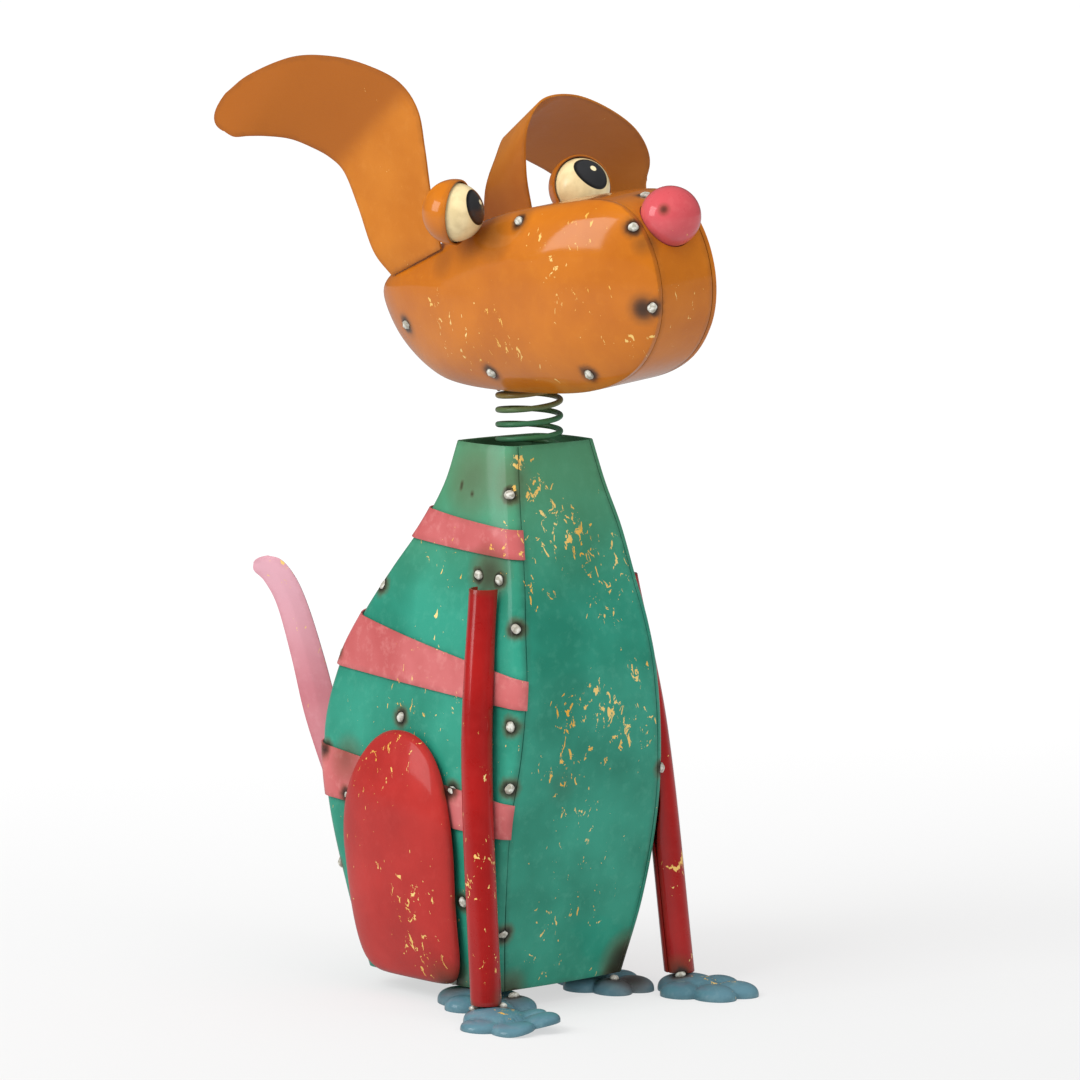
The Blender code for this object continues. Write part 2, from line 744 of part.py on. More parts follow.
def eyelid(name, side, collection):
    """Pressed half shell round the back of an eyeball, open along its aim."""
    radius = EYE_RADIUS + LID_CLEARANCE + LID_SHEET
    rows = []
    sectors, rings = 16, 6
    for ring in range(rings):
        angle = LID_ANGLE * (ring + 1) / rings
        rows.append([(radius * math.sin(angle) * math.cos(2 * math.pi * k / sectors),
                      radius * math.sin(angle) * math.sin(2 * math.pi * k / sectors),
                      -radius * math.cos(angle)) for k in range(sectors)])

    def build(shape):
        lines = [[shape.verts.new(point) for point in row] for row in rows]
        pole = shape.verts.new((0.0, 0.0, -radius))
        for low, high in zip(lines, lines[1:]):
            for k in range(sectors):
                n = (k + 1) % sectors
                shape.faces.new((low[k], low[n], high[n], high[k]))
        for k in range(sectors):
            shape.faces.new((pole, lines[0][(k + 1) % sectors], lines[0][k]))

    lid = new_object(name, mesh_from(name, build), "head_orange", collection)
    thicken(lid, LID_SHEET, -1.0)
    lid.location = eye_centre(side) * MM
    lid.rotation_mode = 'QUATERNION'
    lid.rotation_quaternion = Vector(LID_AIM[side]).to_track_quat('Z', 'Y')
    return lid


def eyeball(name, side, collection):
    """Eyeball with its pole along its aim."""
    eye = ball(name, eye_centre(side), EYE_RADIUS, "eye_cream", collection)
    eye.rotation_mode = 'QUATERNION'
    eye.rotation_quaternion = Vector(EYE_AIM[side]).to_track_quat('Z', 'Y')
    return eye


def ear(name, side, edges, collection):
    """Sheet ear welded to the cheek and bent over."""
    (front_y, front_z), (back_y, back_z) = EAR_WELD
    across = 4
    rows = strip_rows(edges, across)
    weld = []
    stand = EAR_STAND + EAR_SHEET / 2
    for k in range(across + 1):
        share = k / across
        y = front_y + (back_y - front_y) * share
        z = front_z + (back_z - front_z) * share
        weld.append(Vector((side * (cheek_reach(y, z) + stand), y, z)))
    rows.insert(0, weld)
    sheet = new_object(name, grid_mesh(name, rows), "ear_orange", collection)
    return thicken(sheet, EAR_SHEET, 0.0)


def build_body(parts, cutters):
    """Barrel body, stripes, haunches, legs, paws and tail."""
    body_panel("body_front_panel", -1, parts)
    body_panel("body_back_panel", 1, parts)
    envelope = body_envelope(STRIPE_STAND + STRIPE_SHEET + GAP, cutters)
    for word, side in (("right", -1), ("left", 1)):
        body_side(f"body_side_{word}", side, parts)
        for label, *edges in STRIPES:
            stripe(f"stripe_{label}_{word}", side, edges, parts)
        haunch(f"haunch_{word}", side, parts)
        front_leg(f"front_leg_{word}", side, envelope, parts, cutters)
        turn = side * math.radians(4.0)
        front_ankle = (side * LEG_FOOT[0], LEG_FOOT[1])
        hind_ankle = (side * HIND_ANKLE[0], HIND_ANKLE[1])
        paw(f"front_paw_{word}", front_ankle, FRONT_HEEL, FRONT_SHARE, turn, parts, cutters)
        paw(f"hind_paw_{word}", hind_ankle, HIND_HEEL, HIND_SHARE, 0.0, parts, cutters)
    tail(parts)


def build_head(parts, cutters):
    """Head pieces, tilted together about the pivot in the spring."""
    pieces = [head_band(parts, cutters)]
    for word, side in (("right", -1), ("left", 1)):
        pieces.append(cheek(f"cheek_{word}", side, parts))
        pieces.append(eyelid(f"eyelid_{word}", side, parts))
        pieces.append(eyeball(f"eyeball_{word}", side, parts))
    pieces.append(ear("ear_right", -1, EAR_RAISED, parts))
    pieces.append(ear("ear_left", 1, EAR_FOLDED, parts))
    pieces.append(ball("nose", (0.0, *NOSE_CENTRE), NOSE_RADIUS, "nose_pink", parts))
    pieces.extend(thing for thing in cutters.objects if thing.name == "nose_hole")
    pivot = bpy.data.objects.new("head_pivot", None)
    parts.objects.link(pivot)
    centre = Vector(HEAD_PIVOT) * MM
    pivot.location = centre
    pivot.rotation_euler = (0.0, -HEAD_TILT, 0.0)
    for piece in pieces:
        piece.parent = pivot
        piece.matrix_parent_inverse = Matrix.Translation(-centre)


def centre_footprint(parts):
    """Move the whole dog so that the middle of its footprint is the origin."""
    depsgraph = bpy.context.evaluated_depsgraph_get()
    depsgraph.update()
    low, high = [1e9, 1e9], [-1e9, -1e9]
    for thing in parts.objects:
        if thing.type != 'MESH':
            continue
        seen = thing.evaluated_get(depsgraph)
        for vert in seen.data.vertices:
            place = seen.matrix_world @ vert.co
            for axis in range(2):
                low[axis] = min(low[axis], place[axis])
                high[axis] = max(high[axis], place[axis])
    stand = bpy.data.objects.new("stand", None)
    parts.objects.link(stand)
    for thing in bpy.data.objects:
        if thing is not stand and thing.parent is None:
            thing.parent = stand
    stand.location = (-(low[0] + high[0]) / 2, -(low[1] + high[1]) / 2, 0.0)


def main():
    for thing in list(bpy.data.objects):
        bpy.data.objects.remove(thing)
    parts = bpy.data.collections.new("scrap_metal_dog")
    cutters = bpy.data.collections.new("cutters")
    for collection in (parts, cutters):
        bpy.context.scene.collection.children.link(collection)
    build_body(parts, cutters)
    tube_along("neck_spring", spring_path(), SPRING_WIRE, 6, "spring_green", parts)
    build_head(parts, cutters)
    centre_footprint(parts)


main()
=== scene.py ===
"""Scrap metal dog sculpture: painted, welded sheet steel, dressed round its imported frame."""
import json
import math

import bpy
from mathutils import Matrix, Vector, noise
from mathutils.bvhtree import BVHTree
from mathutils.kdtree import KDTree


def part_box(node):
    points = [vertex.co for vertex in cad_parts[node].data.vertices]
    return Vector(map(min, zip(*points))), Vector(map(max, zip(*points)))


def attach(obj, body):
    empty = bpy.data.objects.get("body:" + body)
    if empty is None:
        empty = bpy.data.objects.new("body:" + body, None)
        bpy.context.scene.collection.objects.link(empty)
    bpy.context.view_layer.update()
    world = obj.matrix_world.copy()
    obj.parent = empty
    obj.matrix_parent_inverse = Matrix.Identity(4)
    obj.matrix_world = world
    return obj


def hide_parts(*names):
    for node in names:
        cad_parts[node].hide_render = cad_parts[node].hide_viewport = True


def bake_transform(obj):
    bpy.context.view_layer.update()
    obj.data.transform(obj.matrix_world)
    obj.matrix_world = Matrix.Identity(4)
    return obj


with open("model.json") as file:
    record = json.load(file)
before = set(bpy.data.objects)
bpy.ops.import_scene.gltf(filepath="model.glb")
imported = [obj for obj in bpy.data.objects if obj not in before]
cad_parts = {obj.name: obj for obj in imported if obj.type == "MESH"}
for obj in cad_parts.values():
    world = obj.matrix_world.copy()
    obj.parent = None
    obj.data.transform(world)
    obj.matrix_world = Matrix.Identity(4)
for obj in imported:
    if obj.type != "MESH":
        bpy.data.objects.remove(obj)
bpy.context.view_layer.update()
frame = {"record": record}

MM = 0.001


# sizes, in mm, as the frame has them
SHEET = 1.0
GAP = 0.3
BODY_BOTTOM = 8.0
BODY_HEIGHT = 228.0
PANEL_CROWN = 1.2
SIDE_BULGE = 4.5
SIDE_CROWN = 1.2
SHOULDER = 6.0
BODY_FORM = (
    (0.00, 0.1412, 0.1031, 0.268), (0.14, 0.1667, 0.1338, 0.300), (0.315, 0.1798, 0.1623, 0.341),
    (0.447, 0.1689, 0.1807, 0.363), (0.58, 0.1566, 0.1816, 0.327), (0.667, 0.1469, 0.1680, 0.275),
    (0.754, 0.1316, 0.1482, 0.212), (0.842, 0.1184, 0.1254, 0.140), (0.92, 0.1022, 0.1010, 0.098),
    (1.00, 0.0877, 0.0811, 0.077),
)
STRIPE_SHEET = 0.7
STRIPE_STAND = 0.6
STRIPES = (
    ("neck", 202.0, 207.5, 190.0, 194.5),
    ("chest", 141.0, 161.0, 129.0, 137.5),
    ("belly", 89.5, 104.0, 75.0, 81.5),
)
HAUNCH_MID = 25.0
HAUNCH_HALF = 35.0
HAUNCH_TOP = 114.5
HAUNCH_SPRINGING = 62.0
HAUNCH_DOME = 7.0
HAUNCH_SEAT = STRIPE_STAND + STRIPE_SHEET + 2 * GAP + SHEET
LEG_RADIUS = 6.5
LEG_TOP = (38.8, -18.5, 178.0)
LEG_KNEE = (49.7, -25.9, 112.0)
LEG_FOOT = (54.9, -37.4)
# The leg channel's wall reaches round to between these angles, in degrees
LEG_SHUT = 176
LEG_OPEN = 60
PAW_SHEET = 1.2
PAW_HEIGHT = 7.4
HIND_ANKLE = (33.5, -0.5)
HIND_HEEL = 14.0
HIND_SHARE = 0.8
FRONT_HEEL = 9.0
FRONT_SHARE = 0.86
PAW_TURN = math.radians(4.0)
TOES = (
    (-13.0, 13.0, 9.5, 11.0), (-7.0, 30.0, 9.5, 12.0),
    (7.5, 31.5, 9.5, 12.0), (13.0, 15.0, 9.5, 11.0),
)
TOE_HEIGHT = 6.0
PALM = (14.0, 24.0)
TAIL_ROOT = (-6.0, 78.0)
TAIL_SWING = math.radians(26.8)
TAIL_EDGES = (
    ((1.5, 60.0), (8.0, 36.0)), ((9.0, 77.0), (22.0, 58.0)), ((18.5, 95.0), (31.0, 80.0)),
    ((25.5, 112.0), (41.0, 108.0)), ((32.0, 134.0), (47.5, 134.0)), ((39.0, 155.0), (54.0, 156.0)),
    ((45.0, 168.0), (60.0, 166.5)), ((52.0, 176.0), (65.0, 171.0)), ((58.5, 177.5), (65.0, 174.5)),
)
TAIL_WELD = (46.0, 24.0)
SPRING_CENTRE = (0.0, -3.0)
SPRING_RADIUS = 13.1
SPRING_WIRE = 1.2
SPRING_PITCH = 6.5
SPRING_BASE = 226.0
HEAD_PIVOT = Vector((0.0, -3.0, 247.0))
HEAD_TILT = math.radians(6.0)
BAND_HALF = 14.0
CHEEK_DEPTH = 18.0
CHEEK_RIM = 2.0
CHEEK_MID = (-22.0, 301.0)
CHEEK_FULL = (65.0, 50.0, 40.0)
HEAD_OUTLINE = (
    (64.5, 296.0), (57.0, 279.5), (40.0, 266.5), (19.5, 260.8), (-20.0, 260.0), (-60.0, 263.2),
    (-86.0, 272.5), (-101.0, 288.0), (-106.0, 306.0), (-102.5, 324.5), (-92.0, 338.5), (-75.0, 343.3),
    (-45.0, 340.0), (-16.0, 334.8), (12.0, 325.5), (40.0, 313.0), (58.0, 305.5),
)
EYE_RADIUS = 12.2
LID_SHEET = 1.0
LID_CLEARANCE = 0.5
LID_ANGLE = math.radians(97.0)
EYE_AIM = {-1: Vector((0.21, -0.97, 0.06)), 1: Vector((-0.44, -0.87, 0.26))}
LID_AIM = {-1: Vector((0.40, -0.91, -0.10)), 1: Vector((-0.25, -0.93, 0.26))}
NOSE_RADIUS = 12.5
NOSE_CENTRE = (-99.0, 335.4)
EAR_SHEET = 0.9
EAR_STAND = 0.65
EAR_CLOSE = 0.7
EAR_WELD = ((14.0, 320.0), (50.0, 306.5))
EAR_RAISED = (
    ((-26.5, 15.5, 329.0), (-26.5, 57.5, 317.0)), ((-26.0, 18.5, 343.0), (-26.0, 65.5, 335.0)),
    ((-26.0, 20.0, 362.0), (-26.5, 72.0, 349.5)), ((-26.5, 22.0, 378.0), (-28.0, 79.0, 356.0)),
    ((-28.5, 30.0, 389.5), (-30.5, 88.0, 360.5)), ((-32.0, 45.0, 396.5), (-33.5, 98.0, 364.0)),
    ((-35.5, 63.5, 400.3), (-37.0, 109.0, 365.2)), ((-39.5, 85.0, 400.0), (-40.0, 117.5, 365.3)),
    ((-42.0, 110.5, 392.3), (-42.0, 124.5, 364.9)), ((-43.0, 126.5, 383.8), (-43.0, 129.8, 367.0)),
)
EAR_FOLDED = (
    ((26.5, 15.5, 330.0), (26.5, 47.0, 320.0)), ((25.5, 16.0, 345.0), (27.0, 44.0, 336.0)),
    ((28.0, 16.0, 363.0), (33.5, 44.0, 347.5)), ((38.0, 16.0, 373.5), (51.0, 56.0, 354.5)),
    ((56.0, 16.0, 373.0), (64.0, 64.0, 345.0)), ((76.0, 17.0, 364.5), (79.0, 64.0, 336.0)),
    ((94.0, 20.0, 352.5), (90.0, 62.0, 328.0)), ((106.0, 26.0, 338.5), (99.0, 56.0, 321.0)),
    ((111.0, 36.0, 326.0), (107.0, 46.0, 319.0)),
)

# The dog is drawn about its own middle; the frame stands it on the middle of its footprint
panel_low, panel_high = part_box("body_front_panel")
nose_low, nose_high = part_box("nose")
STAND = Vector(((panel_low.x + panel_high.x) / 2,
                (nose_low.y + nose_high.y) / 2 - NOSE_CENTRE[0] * MM, 0.0))
HEAD_LEAN = Matrix.Rotation(-HEAD_TILT, 3, 'Y')


def lean(point):
    """Turn a place in the upright head with the head's tilt."""
    return HEAD_LEAN @ (Vector(point) - HEAD_PIVOT) + HEAD_PIVOT


def upright(point):
    """Turn a place in the tilted head back to the upright head."""
    return HEAD_LEAN.transposed() @ (point - HEAD_PIVOT) + HEAD_PIVOT


BODY_MIDDLE = (0.0, 18.0, 120.0)
HEAD_MIDDLE = lean((0.0, *CHEEK_MID))


def spline(rows, at):
    """Smooth curve through rows of (place, values...) read at one place."""
    last = len(rows) - 2
    index = 0
    while index < last and at > rows[index + 1][0]:
        index += 1
    low, high = rows[index], rows[index + 1]
    before, after = rows[max(index - 1, 0)], rows[min(index + 2, len(rows) - 1)]
    span = high[0] - low[0]
    share = (at - low[0]) / span
    values = []
    for k in range(1, len(low)):
        slope_low = (high[k] - before[k]) / (high[0] - before[0]) * span
        slope_high = (after[k] - low[k]) / (after[0] - low[0]) * span
        values.append(
            low[k] * (2 * share ** 3 - 3 * share ** 2 + 1)
            + slope_low * (share ** 3 - 2 * share ** 2 + share)
            + high[k] * (3 * share ** 2 - 2 * share ** 3)
            + slope_high * (share ** 3 - share ** 2))
    return values


def even_steps(fine, count):
    """Walk round a closed outline in even steps: each step's index and how far it lies past that point."""
    lengths = [0.0]
    for index in range(len(fine)):
        lengths.append(lengths[-1] + math.dist(fine[index], fine[(index + 1) % len(fine)]))
    index = 0
    for number in range(count):
        goal = lengths[-1] * number / count
        while lengths[index + 1] <= goal:
            index += 1
        yield index, (goal - lengths[index]) / (lengths[index + 1] - lengths[index])


def closed_spline(points, count, steps=24):
    """Evenly spaced points round a smooth closed outline."""
    size = len(points)
    fine = []
    for index in range(size):
        p0, p1, p2, p3 = (points[(index + k - 1) % size] for k in range(4))
        for step in range(steps):
            t = step / steps
            fine.append(tuple(
                0.5 * (2 * b + (c - a) * t + (2 * a - 5 * b + 4 * c - d) * t * t
                       + (3 * b - a - 3 * c + d) * t ** 3)
                for a, b, c, d in zip(p0, p1, p2, p3)))
    ring = []
    for index, t in even_steps(fine, count):
        start, end = fine[index], fine[(index + 1) % len(fine)]
        ring.append(tuple(a + (b - a) * t for a, b in zip(start, end)))
    return ring


def smooth_step(low, high, value):
    """0 below low, 1 above high, eased between."""
    t = min(max((value - low) / (high - low), 0.0), 1.0)
    return t * t * (3 - 2 * t)


# making sheet steel
SHEET_MERGE = 2e-5
WIRE_MERGE = 1e-6


def hand_wave(point, height=0.22, length=42.0):
    """Slight unevenness of hand-beaten sheet at a place, in mm."""
    return height * noise.noise(Vector(point) / length)


def select_only(piece):
    """Make one piece the selected and the active one."""
    bpy.ops.object.select_all(action='DESELECT')
    bpy.context.view_layer.objects.active = piece
    piece.select_set(True)


def merge_doubles(threshold):
    """Merge the active mesh's doubled vertices and turn its faces one way."""
    bpy.ops.object.mode_set(mode='EDIT')
    bpy.ops.mesh.select_all(action='SELECT')
    bpy.ops.mesh.remove_doubles(threshold=threshold)
    bpy.ops.mesh.normals_make_consistent(inside=False)
    bpy.ops.object.mode_set(mode='OBJECT')


def settle_modifiers(piece):
    """Apply every modifier of a piece, in order."""
    select_only(piece)
    for step in list(piece.modifiers):
        bpy.ops.object.modifier_apply(modifier=step.name)


def give_wall(sheet, wall, grow=-1.0, rim=0.2, even=True):
    """Thicken a sheet and soften its edges; grow is -1 inwards, 0 both ways and 1 outwards."""
    steel = sheet.modifiers.new("wall", 'SOLIDIFY')
    steel.thickness = wall * MM
    steel.offset = grow
    steel.use_even_offset = even
    soft = sheet.modifiers.new("rim", 'BEVEL')
    soft.width = rim * MM
    soft.segments = 2
    soft.limit_method = 'ANGLE'
    soft.angle_limit = math.radians(60)
    settle_modifiers(sheet)


def pressed_sheet(name, place, across, along, wall, looks_to=None, grow=-1.0, rim=0.2, smooth=32.0):
    """Grid of sheet steel laid where place(u, v) says; looks_to is a place on its inner side."""
    bpy.ops.object.select_all(action='DESELECT')
    bpy.ops.mesh.primitive_grid_add(x_subdivisions=across, y_subdivisions=along, size=2.0)
    sheet = bpy.context.object
    sheet.name = sheet.data.name = name
    for vert in sheet.data.vertices:
        u, v = (vert.co.x + 1) / 2, (vert.co.y + 1) / 2
        vert.co = Vector(place(u, v)) * MM + STAND
    merge_doubles(SHEET_MERGE)
    if looks_to is not None:
        inner = Vector(looks_to) * MM + STAND
        total = sum((face.center - inner).normalized().dot(face.normal) for face in sheet.data.polygons)
        if total < 0:
            sheet.data.flip_normals()
    count = {}
    for face in sheet.data.polygons:
        for key in face.edge_keys:
            count[key] = count.get(key, 0) + 1
    ends = {index for key, times in count.items() if times == 1 for index in key}
    sheet_edges[name] = [sheet.data.vertices[index].co.copy() for index in ends]
    if wall:
        give_wall(sheet, wall, grow, rim)
    bpy.ops.object.shade_smooth_by_angle(angle=math.radians(smooth))
    return sheet


sheet_edges = {}


# body
def body_form(height):
    """Half width, front reach and back reach of the body at a height."""
    return [value * BODY_HEIGHT for value in spline(BODY_FORM, (height - BODY_BOTTOM) / BODY_HEIGHT)]


def side_spot(height, u, lift=0.0):
    """Place across a side sheet, from the front seam (0) to the back seam (1), sideways positive."""
    half, front, back = body_form(height)
    edge, bulge, turn = half + GAP / 2, SIDE_BULGE + lift, SHOULDER + lift
    corner = 0.11
    if u < corner:
        angle = math.pi / 2 * u / corner
        return edge + bulge * math.sin(angle), -front - lift + turn * (1 - math.cos(angle))
    if u > 1 - corner:
        angle = math.pi / 2 * (1 - u) / corner
        return edge + bulge * math.sin(angle), back + lift - turn * (1 - math.cos(angle))
    share = (u - corner) / (1 - 2 * corner)
    start, end = -front + SHOULDER, back - SHOULDER
    return edge + bulge + SIDE_CROWN * 4 * share * (1 - share), start + (end - start) * share


def side_reach(along, height):
    """How far sideways a side sheet's face stands at one place."""
    half, front, back = body_form(height)
    start, end = -front + SHOULDER, back - SHOULDER
    full = half + GAP / 2 + SIDE_BULGE
    if along < start or along > end:
        past = min((start - along if along < start else along - end) / SHOULDER, 1.0)
        return full - SIDE_BULGE * (1 - math.sqrt(1 - past * past))
    share = (along - start) / (end - start)
    return full + SIDE_CROWN * 4 * share * (1 - share)


def body_panel(name, facing):
    """Front (-1) or back (+1) sheet between the side sheets."""
    def place(u, v):
        height = BODY_BOTTOM + BODY_HEIGHT * v
        half, front, back = body_form(height)
        across = 2 * u - 1
        reach = (front if facing < 0 else back) + PANEL_CROWN * (1 - across ** 2)
        x, y = across * (half - GAP / 2), facing * reach
        return x, y + hand_wave((x, y, height)) * (1 - across ** 4), height
    return pressed_sheet(name, place, 36, 120, SHEET, looks_to=BODY_MIDDLE)


def body_side(name, side):
    """Pressed side sheet with rounded shoulders along both seams."""
    def place(u, v):
        height = BODY_BOTTOM + BODY_HEIGHT * v
        x, y = side_spot(height, u)
        return side * (x + hand_wave((x * side, y, height))), y, height
    return pressed_sheet(name, place, 84, 120, SHEET, looks_to=BODY_MIDDLE)


def stripe(name, side, edges, start=0.0):
    """Thin strip that wraps across a side sheet, from its start at the front to the back seam."""
    top_front, top_back, low_front, low_back = edges

    def place(along, v):
        u = start + (1 - start) * along
        top = top_front + (top_back - top_front) * u
        low = low_front + (low_back - low_front) * u
        height = low + (top - low) * v
        x, y = side_spot(height, u, STRIPE_STAND)
        return side * (x + hand_wave((x * side, y, height))), y, height
    return pressed_sheet(name, place, 84, 8, STRIPE_SHEET, looks_to=BODY_MIDDLE, grow=1.0, rim=0.15)


def haunch_edge(angle):
    """Haunch outline about its middle: a round arch above, nearly square below."""
    low, high = HAUNCH_SPRINGING - BODY_BOTTOM, HAUNCH_TOP - HAUNCH_SPRINGING
    c, s = math.cos(angle), math.sin(angle)
    power = 2 / 2.2 if s > 0 else 2 / 7
    along = math.copysign(abs(c) ** power, c) * HAUNCH_HALF
    up = math.copysign(abs(s) ** power, s) * (high if s > 0 else low)
    lean_in = 1.0 if s > 0 else 1.0 - 0.07 * abs(up) / low
    return HAUNCH_MID + along * lean_in, HAUNCH_SPRINGING + up


def haunch_ring(count):
    """Evenly spaced haunch outline."""
    fine = [haunch_edge(math.radians(k / 2)) for k in range(720)]
    return [fine[index] for index, past in even_steps(fine, count)]


def haunch(name, side):
    """Domed red plate over the hind quarter."""
    sectors = 144
    ring = haunch_ring(sectors)

    def place(u, v):
        rim_y, rim_z = ring[round(u * sectors) % sectors]
        share = v ** 0.8
        y = HAUNCH_MID + (rim_y - HAUNCH_MID) * share
        z = HAUNCH_SPRINGING + (rim_z - HAUNCH_SPRINGING) * share
        lift = HAUNCH_SEAT + HAUNCH_DOME * math.sqrt(max(1 - share ** 2.2, 0.0))
        x = side_reach(y, z) + lift
        return side * (x + hand_wave((side * x, y, z))), y, z
    return pressed_sheet(name, place, sectors, 26, SHEET, looks_to=(0, HAUNCH_MID, HAUNCH_SPRINGING),
                         rim=0.25)


# legs, paws and tail
def leg_middle(height):
    """Leg centre line at a height, sideways positive."""
    rows = ((PAW_HEIGHT + GAP, *LEG_FOOT), (LEG_KNEE[2], *LEG_KNEE[:2]), (LEG_TOP[2], *LEG_TOP[:2]))
    return spline(rows, height)


def leg_opening(height, way):
    """How far round from its outer side the leg's wall reaches before it meets the body."""
    x, y = leg_middle(height)
    for step in range(LEG_SHUT, LEG_OPEN, -1):
        angle = math.radians(step)
        clear = True
        for radius in (LEG_RADIUS, LEG_RADIUS - SHEET):
            spot_x = x + radius * math.cos(angle)
            spot_y = y + way * radius * math.sin(angle)
            if spot_x < side_reach(spot_y, height) + STRIPE_STAND + STRIPE_SHEET + GAP:
                clear = False
        if clear:
            return angle
    return math.radians(LEG_OPEN)


def front_leg(name, side):
    """Sheet rolled into a channel that is open towards the body and closes below."""
    low, high = PAW_HEIGHT + GAP, LEG_TOP[2]
    rows = 96
    reach = {way: [leg_opening(low + (high - low) * k / rows, way) for k in range(rows + 1)]
             for way in (-1, 1)}

    def eased(way, v):
        near = round(v * rows)
        spread = [reach[way][min(max(near + k, 0), rows)] for k in range(-4, 5)]
        return min(spread[4], sum(spread) / len(spread))

    def place(u, v):
        height = low + (high - low) * v
        x, y = leg_middle(height)
        turn = -eased(-1, v) + (eased(-1, v) + eased(1, v)) * u
        return side * (x + LEG_RADIUS * math.cos(turn)), y + LEG_RADIUS * math.sin(turn), height

    sheet = pressed_sheet(name, place, 40, rows, 0.0)
    total = 0.0
    for face in sheet.data.polygons:
        middle = leg_middle(face.center.z / MM)
        out = face.center - (Vector((side * middle[0], middle[1], face.center.z / MM)) * MM + STAND)
        total += out.dot(face.normal)
    if total < 0:
        sheet.data.flip_normals()
    give_wall(sheet, SHEET, even=False)
    bpy.ops.object.shade_smooth_by_angle(angle=math.radians(32))
    return sheet


def paw_height(x, y, heel, share, toe_height):
    """Height of the pressed paw's skin over one place of its footprint, 0 outside."""
    reach = PALM[1] * share
    lobes = [(0.0, (heel - reach) / 2, PALM[0] * share, (heel + reach) / 2, PAW_HEIGHT)]
    for across, forward, width, length in TOES:
        lobes.append((across * share, -forward * share, width * share, length * share, toe_height))
    best = 0.0
    for mid_x, mid_y, half_x, half_y, tall in lobes:
        inside = 1 - ((x - mid_x) / half_x) ** 2 - ((y - mid_y) / half_y) ** 2
        if inside > 0:
            best = max(best, tall * inside ** 0.34)
    return best


def paw(name, ankle, heel, share, turn, curl=0.0):
    """Pressed paw shell with four toes, its rim turned down to the ground; curl lifts one toe's end."""
    middle = Vector((0.0, -12.0 * share))
    toe_height = TOE_HEIGHT - 0.35 * curl
    sectors, rings = 160, 22
    rim_start = 0.955
    reaches = []
    for k in range(sectors):
        way = Vector((math.cos(2 * math.pi * k / sectors), math.sin(2 * math.pi * k / sectors)))
        far = 60.0
        while far > 1 and not paw_height(*(middle + way * far), heel, share, toe_height):
            far -= 0.1
        reaches.append(far)

    def place(u, v):
        k = round(u * sectors) % sectors
        way = Vector((math.cos(2 * math.pi * k / sectors), math.sin(2 * math.pi * k / sectors)))
        if v > rim_start:
            spot, height = middle + way * reaches[k], 0.0
        else:
            out = math.sin(math.pi / 2 * v / rim_start)
            spot = middle + way * reaches[k] * out
            height = max(paw_height(*spot, heel, share, toe_height), 0.0)
        if curl:
            height += curl * smooth_step(0.0, 24.0, spot.x * 0.75 - spot.y * 0.65 - 9.0)
        c, s = math.cos(turn), math.sin(turn)
        x, y = spot.x * c - spot.y * s, spot.x * s + spot.y * c
        return ankle[0] + x, ankle[1] + y, max(height, 0.0)
    shell = pressed_sheet(name, place, sectors, rings, PAW_SHEET,
                          looks_to=(ankle[0], ankle[1] - 12, -30), rim=0.3, smooth=50)
    low = min(vert.co.z for vert in shell.data.vertices)
    for vert in shell.data.vertices:
        vert.co.z -= low
    return shell


def strip_spot(edges, u, v, close=0.3):
    """Place on a strip between two smooth edges, with a rounded end."""
    last = len(edges) - 1
    fronts = [(k, *edge[0]) for k, edge in enumerate(edges)]
    backs = [(k, *edge[1]) for k, edge in enumerate(edges)]
    at = v * last
    front, back = Vector(spline(fronts, at)), Vector(spline(backs, at))
    spot = front.lerp(back, u)
    if at > last - 0.5:
        before = Vector(spline(fronts, last - 0.5)) + Vector(spline(backs, last - 0.5))
        bulge = Vector(fronts[-1][1:]) + Vector(backs[-1][1:]) - before
        ramp = (at - (last - 0.5)) / 0.5
        spot += bulge * close * (1 - (2 * u - 1) ** 2) * ramp
    return spot


def tail_point(out, up):
    """Place in the tail's swung upright plane."""
    return (TAIL_ROOT[0] - out * math.sin(TAIL_SWING), TAIL_ROOT[1] + out * math.cos(TAIL_SWING), up)


def tail(name):
    """Sabre-shaped sheet tail with a soft crease down its middle."""
    start = []
    for up in TAIL_WELD:
        back = body_form(up)[2] + PANEL_CROWN + GAP + SHEET / 2
        start.append(tail_point((back - TAIL_ROOT[1]) / math.cos(TAIL_SWING), up))
    edges = [start] + [[tail_point(*spot) for spot in pair] for pair in TAIL_EDGES]
    across = Vector((math.cos(TAIL_SWING), math.sin(TAIL_SWING), 0.0))

    def place(u, v):
        crease = 1.3 * (1 - abs(2 * u - 1) ** 1.3) * smooth_step(0.0, 0.25, v)
        return strip_spot(edges, u, v) - across * crease
    return pressed_sheet(name, place, 24, 90, SHEET, looks_to=(60, 90, 90), grow=0.0)


# neck spring
def spring_path():
    """Coil from a weld inside the front panel up to the underside of the head."""
    head_low = min(point[1] for point in HEAD_OUTLINE)
    top = head_low - GAP - SPRING_WIRE
    turns = (top - SPRING_BASE) / SPRING_PITCH + 0.6
    neck_front = body_form(SPRING_BASE)[1] + SPRING_CENTRE[1]
    wide = neck_front - SHEET - GAP - SPRING_WIRE
    steps = 460
    points = []
    for k in range(steps + 1):
        share = k / steps
        angle = -math.pi / 2 + 2 * math.pi * turns * share
        radius = SPRING_RADIUS + (wide - SPRING_RADIUS) * max(0.0, 1 - share * turns * 2)
        lift = min(share * (1 + 0.6 / turns), 1.0)
        x = SPRING_CENTRE[0] + radius * math.cos(angle)
        y = SPRING_CENTRE[1] + radius * math.sin(angle)
        z = SPRING_BASE + (top - SPRING_BASE) * lift
        points.append(Vector((x, y, z + x * math.tan(HEAD_TILT) * share ** 2 - share * 0.3)))
    return points


